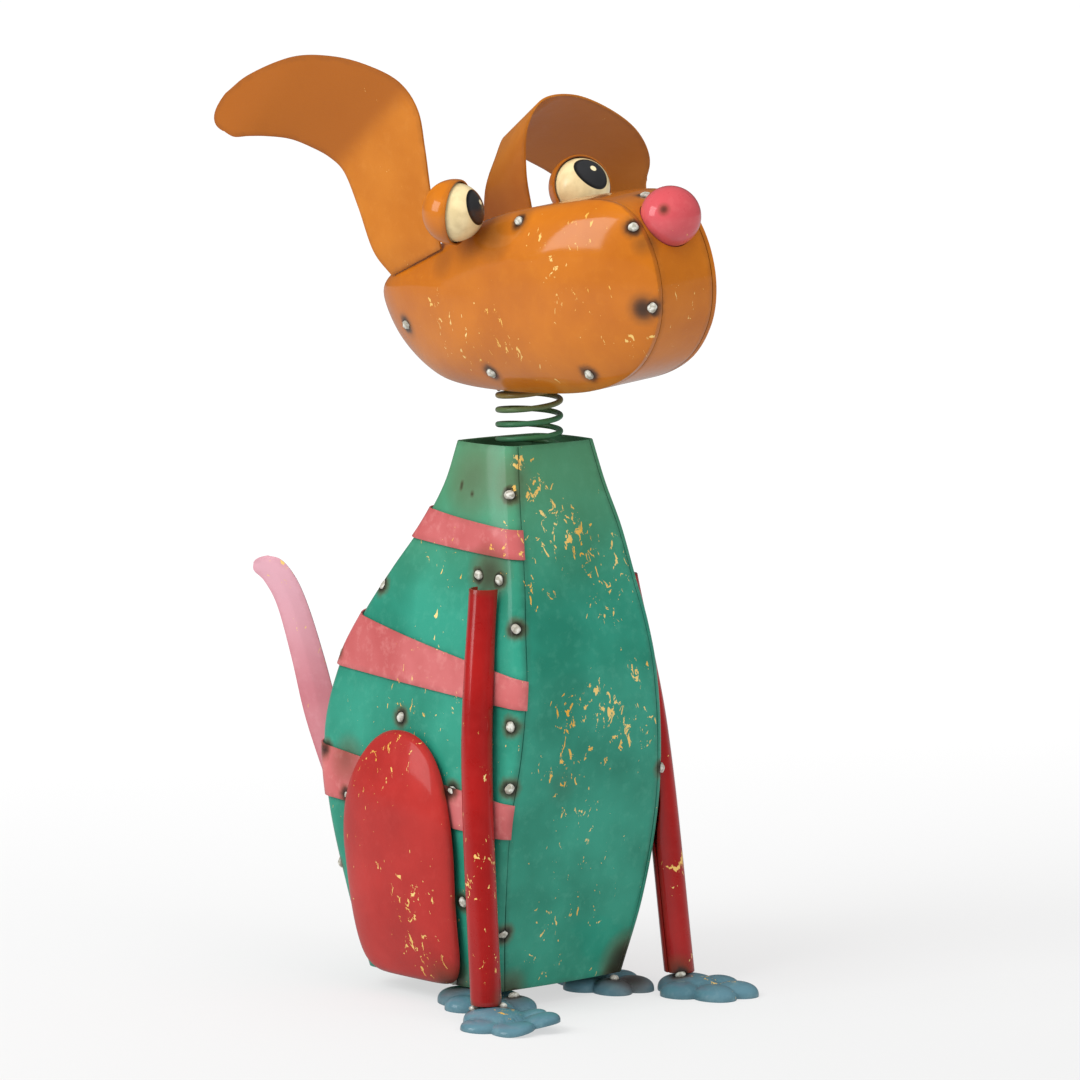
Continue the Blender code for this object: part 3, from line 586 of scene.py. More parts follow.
def neck_spring(name):
    """Round wire swept along the coil, as a mesh."""
    curve = bpy.data.curves.new(name, 'CURVE')
    curve.dimensions = '3D'
    curve.bevel_depth = SPRING_WIRE * MM
    curve.bevel_resolution = 5
    curve.use_fill_caps = True
    points = spring_path()
    wire = curve.splines.new('POLY')
    wire.points.add(len(points) - 1)
    for knot, point in zip(wire.points, points):
        knot.co = (*(point * MM + STAND), 1.0)
    coil = bpy.data.objects.new(name, curve)
    bpy.context.scene.collection.objects.link(coil)
    select_only(coil)
    bpy.ops.object.convert(target='MESH')
    coil = bpy.context.object
    merge_doubles(WIRE_MERGE)
    bpy.ops.object.shade_smooth_by_angle(angle=math.radians(50))
    coil.data.name = name
    sheet_edges[name] = []
    return coil


# head
HEAD_SECTORS = 200
head_ring = closed_spline(HEAD_OUTLINE, HEAD_SECTORS)


def cheek_soft(y, z):
    """1 where the cheek runs softly out to its rim, 0 under the eye and the ear."""
    middle, half, fade = CHEEK_FULL
    angle = math.degrees(math.atan2(z - CHEEK_MID[1], y - CHEEK_MID[0]))
    return smooth_step(half, half + fade, abs((angle - middle + 180.0) % 360.0 - 180.0))


def cheek_depth(share, soft):
    """Depth of the cheek dome at a share of the way out to its rim."""
    fall = max(1 - share ** 2.6, 0.0) ** (0.455 + 0.4 * soft)
    return CHEEK_RIM + (CHEEK_DEPTH - CHEEK_RIM) * fall


def cheek_share(y, z):
    """Share of the way from the cheek's middle to its rim."""
    goal = math.atan2(z - CHEEK_MID[1], y - CHEEK_MID[0])
    best, share = 9.0, 1.0
    for rim in head_ring:
        angle = math.atan2(rim[1] - CHEEK_MID[1], rim[0] - CHEEK_MID[0])
        off = abs((angle - goal + math.pi) % (2 * math.pi) - math.pi)
        if off < best:
            best, share = off, math.dist((y, z), CHEEK_MID) / math.dist(rim, CHEEK_MID)
    return min(share, 1.0)


def cheek_reach(y, z):
    """How far sideways the cheek's outer face stands at one place."""
    return BAND_HALF + GAP / 2 + cheek_depth(cheek_share(y, z), cheek_soft(y, z))


def cheek(name, side):
    """Deep pressed cheek shell with a short straight rim."""
    def place(u, v):
        rim_y, rim_z = head_ring[round(u * HEAD_SECTORS) % HEAD_SECTORS]
        if v > 0.97:
            share, depth = 1.0, 0.0
        else:
            turn = math.pi / 2 * v / 0.97
            share = min(math.sin(turn) ** 0.77, 1.0)
            depth = cheek_depth(share, cheek_soft(rim_y, rim_z))
        y = CHEEK_MID[0] + (rim_y - CHEEK_MID[0]) * share
        z = CHEEK_MID[1] + (rim_z - CHEEK_MID[1]) * share
        wave = hand_wave((side * 40, y, z), height=0.35, length=36.0) * smooth_step(1.0, 0.8, share)
        return lean((side * (BAND_HALF + GAP / 2 + depth + wave), y, z))
    return pressed_sheet(name, place, HEAD_SECTORS, 44, SHEET, looks_to=HEAD_MIDDLE, rim=0.25)


def head_band(name):
    """Strip that runs round the head between the cheeks, with a hole for the nose."""
    half = BAND_HALF - GAP / 2

    def place(u, v):
        y, z = head_ring[round(u * HEAD_SECTORS) % HEAD_SECTORS]
        return lean((half * (2 * v - 1), y, z))
    band = pressed_sheet(name, place, HEAD_SECTORS, 14, SHEET, looks_to=HEAD_MIDDLE)
    bpy.ops.object.select_all(action='DESELECT')
    bpy.ops.mesh.primitive_uv_sphere_add(segments=64, ring_count=32, radius=(NOSE_RADIUS + GAP) * MM,
                                         location=lean((0.0, *NOSE_CENTRE)) * MM + STAND)
    punch = bpy.context.object
    hole = band.modifiers.new("nose_hole", 'BOOLEAN')
    hole.object = punch
    hole.solver = 'EXACT'
    settle_modifiers(band)
    bpy.data.objects.remove(punch)
    bpy.ops.object.shade_smooth_by_angle(angle=math.radians(32))
    return band


def eye_centre(node):
    """Middle of an eyeball, as the frame has it."""
    low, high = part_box(node)
    return (low + high) / 2


def round_ball(name, centre, radius, aim):
    """Pressed ball with its pole along its aim."""
    bpy.ops.object.select_all(action='DESELECT')
    bpy.ops.mesh.primitive_uv_sphere_add(segments=144, ring_count=96, radius=radius * MM,
                                         location=centre, rotation=aim.to_track_quat('Z', 'Y').to_euler())
    ball = bpy.context.object
    ball.name = ball.data.name = name
    bpy.ops.object.transform_apply(location=True, rotation=True, scale=True)
    bpy.ops.object.shade_smooth()
    sheet_edges[name] = []
    return ball


def eyelid(name, side, eye):
    """Pressed half shell round the back of an eyeball, open along its aim."""
    outer = EYE_RADIUS + LID_CLEARANCE + LID_SHEET
    centre = (eye_centre(eye) - STAND) / MM
    turn = (HEAD_LEAN @ LID_AIM[side]).to_track_quat('Z', 'Y')

    def place(u, v):
        angle = LID_ANGLE * v
        spin = 2 * math.pi * u
        spot = Vector((math.sin(angle) * math.cos(spin), math.sin(angle) * math.sin(spin), -math.cos(angle)))
        return centre + turn @ spot * outer
    return pressed_sheet(name, place, 72, 28, LID_SHEET, looks_to=centre, rim=0.3)


def ear(name, side, edges):
    """Sheet ear welded to the cheek and bent over."""
    (front_y, front_z), (back_y, back_z) = EAR_WELD
    stand = EAR_STAND + EAR_SHEET / 2
    weld = [(side * (cheek_reach(y, z) + stand), y, z) for y, z in ((front_y, front_z), (back_y, back_z))]
    stations = [tuple(weld)] + list(edges)

    def place(u, v):
        if v <= 0.0:
            y, z = front_y + (back_y - front_y) * u, front_z + (back_z - front_z) * u
            return lean((side * (cheek_reach(y, z) + stand), y, z))
        return lean(strip_spot(stations, u, v, close=EAR_CLOSE))
    return pressed_sheet(name, place, 40, 110, EAR_SHEET, grow=0.0, rim=0.2, smooth=40)


# building
# The near front paw's outer toe is bent up; the left stripes begin behind the front seam
TOE_CURL = 4.5
LEFT_START = 0.1
pieces = {}
BODY_OF = {}
for body, members in frame["record"]["behaviour"]["bodies"].items():
    for member in members:
        BODY_OF[member] = body

pieces["body_front_panel"] = body_panel("front_panel", -1)
pieces["body_back_panel"] = body_panel("back_panel", 1)
for word, side in (("right", -1), ("left", 1)):
    pieces[f"body_side_{word}"] = body_side(f"side_panel_{word}", side)
    for label, *edges in STRIPES:
        pieces[f"stripe_{label}_{word}"] = stripe(f"{label}_stripe_{word}", side, edges,
                                                  start=0.0 if side < 0 else LEFT_START)
    pieces[f"haunch_{word}"] = haunch(f"haunch_plate_{word}", side)
    pieces[f"front_leg_{word}"] = front_leg(f"leg_channel_{word}", side)
    pieces[f"front_paw_{word}"] = paw(f"front_paw_shell_{word}", (side * LEG_FOOT[0], LEG_FOOT[1]),
                                      FRONT_HEEL, FRONT_SHARE, side * PAW_TURN,
                                      curl=TOE_CURL if side < 0 else 0.0)
    pieces[f"hind_paw_{word}"] = paw(f"hind_paw_shell_{word}", (side * HIND_ANKLE[0], HIND_ANKLE[1]),
                                     HIND_HEEL, HIND_SHARE, 0.0)
    pieces[f"cheek_{word}"] = cheek(f"cheek_shell_{word}", side)
    pieces[f"eyelid_{word}"] = eyelid(f"lid_{word}", side, f"eyeball_{word}")
    pieces[f"eyeball_{word}"] = round_ball(f"eye_{word}", eye_centre(f"eyeball_{word}"), EYE_RADIUS,
                                           HEAD_LEAN @ EYE_AIM[side])
pieces["tail"] = tail("tail_sheet")
pieces["neck_spring"] = neck_spring("spring_wire")
pieces["head_band"] = head_band("head_strap")
pieces["ear_right"] = ear("raised_ear", -1, EAR_RAISED)
pieces["ear_left"] = ear("folded_ear", 1, EAR_FOLDED)
pieces["nose"] = round_ball("nose_ball", (nose_low + nose_high) / 2, NOSE_RADIUS, Vector((0.6, -0.2, 0.9)))


# welds
# Nugget places on the right side, in the dog's own upright frame
BODY_WELDS = (
    (-27.4, -21.4, 216.3), (-36.7, -35.7, 162.5), (-41.9, -38.1, 122.4), (-42.9, -38.6, 96.6),
    (-37.5, -27.5, 34.0), (-35.1, -10.8, 182.5), (-34.8, -23.2, 181.5), (-31.5, 49.0, 171.0),
    (-38.0, 73.5, 142.0), (-42.5, 77.0, 100.0), (-41.0, 70.5, 52.0), (-43.7, 29.3, 119.2),
    (-48.0, 60.5, 83.0), (-47.2, -6.5, 92.5), (-44.6, -11.0, 45.6), (-38.2, 2.0, 10.2),
)
# The left side's front seam carries only one nugget
LEFT_SKIPS = (0, 1, 2, 4)
HEAD_WELDS = (
    (-27.2, 42.4, 285.4), (-26.9, -9.6, 267.6), (-24.7, -67.8, 270.4), (-19.5, -104.4, 300.8),
    (-18.7, -96.0, 334.1), (-25.3, -34.9, 334.1),
)
LEFT_HEAD_SKIPS = (3,)
BAND_WELDS = ((3.0, -82.0, 343.0), (-8.0, 30.0, 317.5), (7.0, 20.0, 261.0))
ANKLE_WELDS = ((-50.5, -42.5, 8.3), (-58.5, -33.0, 8.3))
HIND_WELDS = ((-28.8, -25.0, 9.5),)
NUGGET_WIDE = 2.05
NUGGET_TALL = 1.4


def nearest_on(names, place):
    """Nearest spot and its normal on any of some pieces, for a place in mm."""
    found = [skins[name].find_nearest(place * MM + STAND) for name in names]
    spot, normal, face, off = min(found, key=lambda hit: hit[3])
    return spot, normal


def nugget(name, spot, normal, number):
    """One weld bead: a low lumpy dome that stands in its sheet."""
    bpy.ops.object.select_all(action='DESELECT')
    bpy.ops.mesh.primitive_uv_sphere_add(segments=24, ring_count=14, radius=1.0)
    bead = bpy.context.object
    turn = normal.to_track_quat('Z', 'Y') @ Matrix.Rotation(number * 2.4, 3, 'Z').to_quaternion()
    for vert in bead.data.vertices:
        lump = 1 + 0.16 * noise.noise(vert.co * 1.4 + Vector((number * 3.1, 0, 0)))
        flat = Vector((vert.co.x * NUGGET_WIDE * lump * 1.12, vert.co.y * NUGGET_WIDE * lump * 0.9,
                       vert.co.z * NUGGET_TALL * lump))
        vert.co = spot + turn @ (flat + Vector((0, 0, 0.15 * NUGGET_TALL))) * MM
    bead.name = bead.data.name = name
    bpy.ops.object.shade_smooth()
    return bead


skins = {}
depsgraph = bpy.context.evaluated_depsgraph_get()
for node, piece in pieces.items():
    skins[node] = BVHTree.FromObject(piece, depsgraph)

weld_spots = {"torso": [], "head": []}
beads = {}
for word, side in (("right", -1), ("left", 1)):
    groups = {
        f"body_welds_{word}": ("torso", BODY_WELDS, [f"body_side_{word}", f"haunch_{word}"], LEFT_SKIPS),
        f"ankle_welds_{word}": ("torso", ANKLE_WELDS + HIND_WELDS,
                                [f"front_paw_{word}", f"hind_paw_{word}"], ()),
        f"cheek_welds_{word}": ("head", HEAD_WELDS, [f"cheek_{word}"], LEFT_HEAD_SKIPS),
    }
    if side < 0:
        groups["band_welds"] = ("head", BAND_WELDS, ["head_band"], ())
    for group, (body, places, carriers, left_skips) in groups.items():
        made = []
        for number, (x, y, z) in enumerate(places):
            if side > 0 and number in left_skips:
                continue
            place = Vector((x * -side, y, z))
            spot, normal = nearest_on(carriers, lean(place) if body == "head" else place)
            outward = spot - (Vector(HEAD_MIDDLE if body == "head" else BODY_MIDDLE) * MM + STAND)
            if group.startswith("ankle"):
                outward = Vector((0, 0, 1))
            if normal.dot(outward) < 0:
                normal = -normal
            made.append(nugget(f"{group}_{number}", spot, normal, number + 7 * (side > 0)))
            weld_spots[body].append(spot)
        bpy.ops.object.select_all(action='DESELECT')
        for bead in made:
            bead.select_set(True)
        bpy.context.view_layer.objects.active = made[0]
        bpy.ops.object.join()
        joined = bpy.context.object
        joined.name = joined.data.name = group
        beads[group] = (joined, body)


# wear, kept as attributes on each mesh
# Gold fleck patches on the body and on the upright head: place, reach, strength
BODY_FLECKS = (
    (-16, -23, 219, 15, 1.0), (-19, -21, 228, 11, 0.9), (-10, -27, 206, 14, 0.9), (-2, -31, 198, 23, 1.0),
    (16, -36, 182, 22, 0.88), (9, -38, 168, 15, 0.8), (-24, -34, 176, 13, 0.9), (-14, -43, 126, 15, 1.0),
    (6, -43, 127, 20, 0.9), (20, -43, 114, 25, 0.88), (24, -43, 138, 15, 0.6), (-12, -43, 104, 22, 0.7),
    (-6, -40, 78, 26, 0.5), (12, -36, 50, 30, 0.45), (-14, -28, 30, 26, 0.55), (-34, -26, 198, 17, 0.8),
    (-48, 10, 186, 26, 0.6), (-52, 8, 156, 26, 0.7), (-55, 20, 120, 34, 0.6), (-56, 36, 96, 26, 0.55),
    (-55, 10, 44, 27, 0.72), (-54, 12, 24, 24, 0.75), (-57, 34, 60, 26, 0.4), (-56, -33, 60, 20, 0.7),
    (-50, -26, 105, 30, 0.35), (-58, -36, 22, 14, 0.7), (54, -42, 52, 13, 1.0), (56, -42, 20, 10, 0.5),
    (-54, -48, 7, 12, 0.8), (58, -58, 6, 14, 0.9), (-32, -10, 6, 12, 0.6), (-18, 98, 150, 24, 0.8),
    (-30, 118, 172, 16, 0.85), (-10, 88, 90, 20, 0.5), (-40, 20, 150, 30, 0.12), (40, 30, 150, 40, 0.3),
    (50, 20, 60, 30, 0.6), (0, 85, 120, 40, 0.4), (0, 70, 40, 30, 0.5),
)
HEAD_FLECKS = (
    (-32, 14, 290, 19, 0.95), (-32, -2, 278, 17, 0.75), (-32, -20, 300, 14, 0.65), (-32, -30, 282, 18, 0.8),
    (-32, -44, 274, 14, 0.6), (-31, -60, 318, 15, 0.95), (-27, -74, 331, 15, 0.95), (-32, -52, 330, 14, 0.7),
    (-24, -96, 284, 15, 0.8), (-28, -76, 300, 18, 0.6), (0, -106, 300, 26, 0.35), (-31, -64, 306, 14, 0.7),
    (32, -40, 300, 40, 0.4), (32, 20, 290, 20, 0.5), (-2, -117, 345, 5, 1.0),
)
# Brown heat tint and soot away from the nuggets: place, reach, strength
BODY_STAINS = (
    (-30, 0, 222, 20, 0.55), (-28, -20, 222, 14, 0.5), (34, -30, 12, 17, 1.0), (-46, 62, 98, 12, 0.6),
    (-38, 2, 12, 13, 0.8), (-36, -17, 184, 14, 0.75), (0, 20, 236, 30, 0.4), (38, -30, 16, 12, 0.8),
    (-50, -42, 9, 8, 0.7), (50, -42, 9, 8, 0.7), (30, -26, 9, 12, 0.9), (-30, -26, 9, 10, 0.7),
    (-15, -44, 95, 10, 0.15), (34, 0, 222, 20, 0.5), (42, 62, 98, 12, 0.6),
    (-29, 7, 218, 2.2, 1.0), (-29, -0.5, 215.5, 2.2, 1.0), (23, -31.5, 26, 2.8, 1.0),
)
HEAD_STAINS = (
    (-29, -22, 328, 13, 0.62), (29, -22, 328, 13, 0.62), (-29, 12, 316, 9, 0.4), (29, 12, 316, 9, 0.4),
    (-14, -98, 326, 7, 0.85), (-20, -100, 300.5, 8, 0.95), (0, -3, 260, 14, 0.6), (-25, -35, 334, 8, 0.6),
    (-27, 42, 285, 7, 0.7), (-27, -10, 267, 7, 0.7), (-25, -68, 270, 7, 0.8), (-9.5, -105.6, 340, 3.2, 0.8),
)


# Each eye's pupil: its direction, long axis and half angles, then its glint's direction and half angle
PUPILS = {
    "eyeball_right": ((0.369, -0.899, 0.237), (0.0, 0.0, 1.0), 38.5, 38.5, (0.410, -0.837, 0.365), 5.0),
    "eyeball_left": ((-0.151, -0.780, 0.610), (0.630, -0.801, -0.863), 42.0, 33.0,
                     (-0.081, -0.721, 0.690), 6.4),
}
# Where the raised ear bends and which way it goes on, and the middle of the folded ear's arch
EAR_FOLD = ((26.0, 384.0), (0.559, 0.829))
ARCH_MIDDLE = (62.0, 36.0, 336.0)


def keep_marks(piece, values):
    """Store named numbers, one for each vertex."""
    for name, numbers in values.items():
        piece.data.attributes.new(name, 'FLOAT', 'POINT').data.foreach_set("value", numbers)


def pupil_marks(eye, node):
    """Store how far each vertex lies out from its pupil and its glint, 1 at their rims."""
    way, along, long_half, short_half, glint_way, glint_half = PUPILS[node]
    way, glint_way = Vector(way).normalized(), Vector(glint_way).normalized()
    along = (Vector(along) - way * way.dot(Vector(along))).normalized()
    centre = eye_centre(node)
    values = {"pupil": [], "glint": []}
    for vert in eye.data.vertices:
        spot = (vert.co - centre).normalized()
        off = math.degrees(spot.angle(way, 0.0))
        aside = spot - way * spot.dot(way)
        share = aside.normalized().dot(along) ** 2 if aside.length > 1e-6 else 0.0
        values["pupil"].append(off * math.sqrt(share / long_half ** 2 + (1 - share) / short_half ** 2))
        values["glint"].append(math.degrees(spot.angle(glint_way, 0.0)) / glint_half)
    keep_marks(eye, values)


def tone_and_shade_amount(node, place, normal):
    """How far a place in its upright frame, in mm, takes its finish's second colour: painted shade on the
    ears and eyelids, a change of tone on the spring, the tail and the body.
    """
    # Painted shade: the raised ear darkens past its bend, where it faces down, the folded one under its arch,
    # a lid on its inner side
    if node == "ear_right":
        (y, z), (way_y, way_z) = EAR_FOLD
        return 0.9 * smooth_step(-4.0, 7.0, (place.y - y) * way_y + (place.z - z) * way_z)
    if node == "ear_left":
        return 0.5 if normal.dot(place - Vector(ARCH_MIDDLE)) < 0 else 0.0
    if node.startswith("eyelid"):
        return 0.85 if normal.dot(place - EYE_MIDDLES[node]) < 0 else 0.0
    # The spring, the tail and the body change tone upwards
    if node == "neck_spring":
        return smooth_step(244.0, 262.0, place.z)
    if node == "tail":
        return smooth_step(110.0, 178.0, place.z)
    if node.startswith("body"):
        return 0.55 * smooth_step(160.0, 232.0, place.z)
    return 0.0


def patchiness(place, patches):
    """How strongly a place lies in any of some round patches, 0 to 1."""
    best = 0.0
    for *middle, reach, strength in patches:
        off = (place - Vector(middle)).length
        if off < reach:
            best = max(best, strength * (1 - (off / reach) ** 2))
    return best


# Wear is not measured past this distance, in mm; a ball has no edge, so its edge lies far off
WEAR_REACH = 30.0
NO_EDGE = [Vector((9.0, 9.0, 9.0))]


def wear_marks(piece, node, body):
    """Store each vertex's distance from its sheet's edge and welds, and its flecks and stains."""
    trees = []
    for places in (sheet_edges[piece.name] or NO_EDGE, weld_spots[body]):
        tree = KDTree(len(places))
        for number, place in enumerate(places):
            tree.insert(place, number)
        tree.balance()
        trees.append(tree)
    edge_tree, weld_tree = trees
    flecks = HEAD_FLECKS if body == "head" else BODY_FLECKS
    stains = HEAD_STAINS if body == "head" else BODY_STAINS
    values = {"edge_mm": [], "weld_mm": [], "fleck": [], "stain": [], "tone_and_shade": []}
    for vert in piece.data.vertices:
        values["edge_mm"].append(min(edge_tree.find(vert.co)[2] / MM, WEAR_REACH))
        values["weld_mm"].append(min(weld_tree.find(vert.co)[2] / MM, WEAR_REACH))
        place = (vert.co - STAND) / MM
        if body == "head":
            place = upright(place)
        values["fleck"].append(patchiness(place, flecks))
        values["stain"].append(patchiness(place, stains))
        facing = HEAD_LEAN.transposed() @ vert.normal if body == "head" else vert.normal
        values["tone_and_shade"].append(tone_and_shade_amount(node, place, facing))
    keep_marks(piece, values)


EYE_MIDDLES = {f"eyelid_{word}": upright((eye_centre(f"eyeball_{word}") - STAND) / MM)
               for word in ("right", "left")}
for node, piece in pieces.items():
    wear_marks(piece, node, BODY_OF[node])
for node in PUPILS:
    pupil_marks(pieces[node], node)


# finishes
def srgb(code):
    """sRGB hex to a linear colour with alpha."""
    parts = [int(code[k:k + 2], 16) / 255 for k in (1, 3, 5)]
    return (*(c / 12.92 if c <= 0.04045 else ((c + 0.055) / 1.055) ** 2.4 for c in parts), 1.0)


def per_mm(length):
    """Noise scale, on Object coordinates in metres, for a feature of that many mm."""
    return 1000.0 / length


def add(tree, kind, settings=None, values=None, links=None):
    """Add a shader node with its settings, socket values and incoming links."""
    made = tree.nodes.new("ShaderNode" + kind)
    for key, value in (settings or {}).items():
        setattr(made, key, value)
    for key, value in (values or {}).items():
        made.inputs[key].default_value = value
    for key, source in (links or {}).items():
        tree.links.new(source, made.inputs[key])
    return made


COLOUR = {"data_type": 'RGBA'}
MIX_OUT = 2
GOLD_FLECK = "#D8A136"
PALE_FLECK = "#E6CC84"
SOOT = "#1C1613"
SCORCH = "#5E3A1C"
SOFTLY = {"interpolation_type": 'SMOOTHSTEP'}
# How strongly an edge darkens with grime, worn paint and painted shade, and how much a fleck patch adds to
# the chip noise
EDGE_GRIME_AND_SHADE = 0.2
FLECKING = 0.172


def new_material(name):
    """An empty node material and its tree."""
    material = bpy.data.materials.new(name)
    material.use_nodes = True
    material.node_tree.nodes.clear()
    return material, material.node_tree


def brushed_enamel(name, coat, deep, pale, rough=0.4, gloss=0.4, mottle=0.22, flecks=1.0, edge_grime_and_shade="#2E2620",
                   tone_and_shade=None):
    """Brush-painted enamel on sheet steel: a soft sheen, uneven strokes, edges darkened by rubbing and by
    painted shade, heat-burnt rings round the welds and gold flecks where the top coat has chipped."""
    material, tree = new_material(name)
    where = add(tree, "TexCoord").outputs["Object"]
    marks = {key: add(tree, "Attribute", {"attribute_name": key}).outputs["Fac"]
             for key in ("edge_mm", "weld_mm", "fleck", "stain", "tone_and_shade")}
    # Cloudy tone about 38 mm across, and brush mottling about 4.5 mm across
    cloud = add(tree, "TexNoise", values={"Scale": per_mm(38), "Detail": 3.0, "Roughness": 0.55},
                links={"Vector": where}).outputs["Fac"]
    mottling = add(tree, "TexNoise", values={"Scale": per_mm(4.5), "Detail": 4.0, "Roughness": 0.6},
                   links={"Vector": where}).outputs["Fac"]
    grain = add(tree, "TexNoise", values={"Scale": per_mm(0.9), "Detail": 2.0},
                links={"Vector": where}).outputs["Fac"]
    cloud_mask = add(tree, "MapRange", values={"From Min": 0.36, "From Max": 0.64},
                     links={"Value": cloud}).outputs["Result"]
    tone = add(tree, "Mix", COLOUR, {6: srgb(deep), 7: srgb(coat)}, {"Factor": cloud_mask}).outputs[MIX_OUT]
    pale_mask = add(tree, "MapRange", values={"From Min": 0.52, "From Max": 0.74, "To Max": mottle},
                    links={"Value": mottling}).outputs["Result"]
    # Darkening within about 3 mm of each sheet's edge: grime and worn paint, and painted shade along seams
    # and overlaps
    ragged = add(tree, "Math", {"operation": 'MULTIPLY_ADD'}, {1: 4.0, 2: -2.0}, {0: mottling}).outputs[0]
    near_edge = add(tree, "Math", {"operation": 'ADD'}, links={0: marks["edge_mm"], 1: ragged}).outputs[0]
    edge_grime_and_shade_mask = add(tree, "MapRange", values={"From Min": 2.6, "From Max": 0.2, "To Max": EDGE_GRIME_AND_SHADE},
                    links={"Value": near_edge}).outputs["Result"]
    # Heat tint: brown out to about 8 mm from a weld, soot within about 6 mm
    near_weld = add(tree, "Math", {"operation": 'MULTIPLY_ADD'}, {1: 3.0},
                    {0: mottling, 2: marks["weld_mm"]}).outputs[0]
    scorch_mask = add(tree, "MapRange", SOFTLY, {"From Min": 8.2, "From Max": 4.4, "To Max": 0.62},
                      {"Value": near_weld}).outputs["Result"]
    stain_mask = add(tree, "Math", {"operation": 'MULTIPLY'}, {1: 0.8}, {0: marks["stain"]}).outputs[0]
    brown_mask = add(tree, "Math", {"operation": 'MAXIMUM'}, links={0: scorch_mask, 1: stain_mask}).outputs[0]
    soot_ring = add(tree, "MapRange", SOFTLY, {"From Min": 6.3, "From Max": 3.4, "To Max": 0.9},
                    {"Value": near_weld}).outputs["Result"]
    soot_spot = add(tree, "MapRange", SOFTLY, {"From Min": 0.45, "From Max": 1.0, "To Max": 0.85},
                    {"Value": marks["stain"]}).outputs["Result"]
    soot_mask = add(tree, "Math", {"operation": 'MAXIMUM'}, links={0: soot_ring, 1: soot_spot}).outputs[0]
    # Each coat lies over the one before; the edge darkening and the second colour carry painted shade in part
    coats = [(pale_mask, pale), (marks["tone_and_shade"], tone_and_shade), (edge_grime_and_shade_mask, edge_grime_and_shade), (brown_mask, SCORCH),
             (soot_mask, SOOT)]
    for mask, colour in coats:
        if colour:
            tone = add(tree, "Mix", COLOUR, {7: srgb(colour)}, {"Factor": mask, 6: tone}).outputs[MIX_OUT]
    # Chipped flecks about 1 to 3 mm long, only where the patches lie, with a few stray ones
    ridges = add(tree, "Mapping", values={"Scale": (1.0, 1.0, 0.6), "Rotation": (0.4, 0.5, 0.0)},
                 links={"Vector": where}).outputs[0]
    chips = add(tree, "TexNoise", links={"Vector": ridges},
                values={"Scale": per_mm(3.4), "Detail": 3.0, "Roughness": 0.68, "Distortion": 0.8})
    amount = add(tree, "Math", {"operation": 'MULTIPLY_ADD'}, {1: FLECKING * flecks},
                 {0: marks["fleck"], 2: chips.outputs["Fac"]}).outputs[0]
    fleck_mask = add(tree, "MapRange", values={"From Min": 0.728, "From Max": 0.742},
                     links={"Value": amount}).outputs["Result"]
    gold = add(tree, "Mix", COLOUR, {6: srgb(GOLD_FLECK), 7: srgb(PALE_FLECK)},
               {"Factor": cloud_mask}).outputs[MIX_OUT]
    tone = add(tree, "Mix", COLOUR, links={"Factor": fleck_mask, 6: tone, 7: gold}).outputs[MIX_OUT]
    # Sheen broken by the strokes, duller where burnt or chipped
    streaks = add(tree, "MapRange", links={"Value": mottling},
                  values={"From Min": 0.3, "From Max": 0.7, "To Min": rough - 0.05, "To Max": rough + 0.08})
    burnt = add(tree, "Math", {"operation": 'MULTIPLY_ADD'}, {1: 0.3},
                {0: soot_mask, 2: streaks.outputs["Result"]}).outputs[0]
    sheen = add(tree, "Math", {"operation": 'MULTIPLY_ADD', "use_clamp": True}, {1: 0.12},
                {0: fleck_mask, 2: burnt}).outputs[0]
    # Relief: orange peel under 1 mm, strokes, and chips sunk by a paint film's depth
    film = add(tree, "Math", {"operation": 'MULTIPLY_ADD'}, {1: -0.8}, {0: fleck_mask, 2: mottling})
    peel = add(tree, "Math", {"operation": 'MULTIPLY_ADD'}, {1: 0.35}, {0: grain, 2: film.outputs[0]})
    relief = add(tree, "Bump", values={"Strength": 0.35, "Distance": 0.00025},
                 links={"Height": peel.outputs[0]}).outputs["Normal"]
    shader = add(tree, "BsdfPrincipled",
                 values={"Coat Weight": gloss, "Coat Roughness": 0.1, "Specular IOR Level": 0.15},
                 links={"Base Color": tone, "Roughness": sheen, "Normal": relief})
    add(tree, "OutputMaterial", links={"Surface": shader.outputs["BSDF"]})
    return material


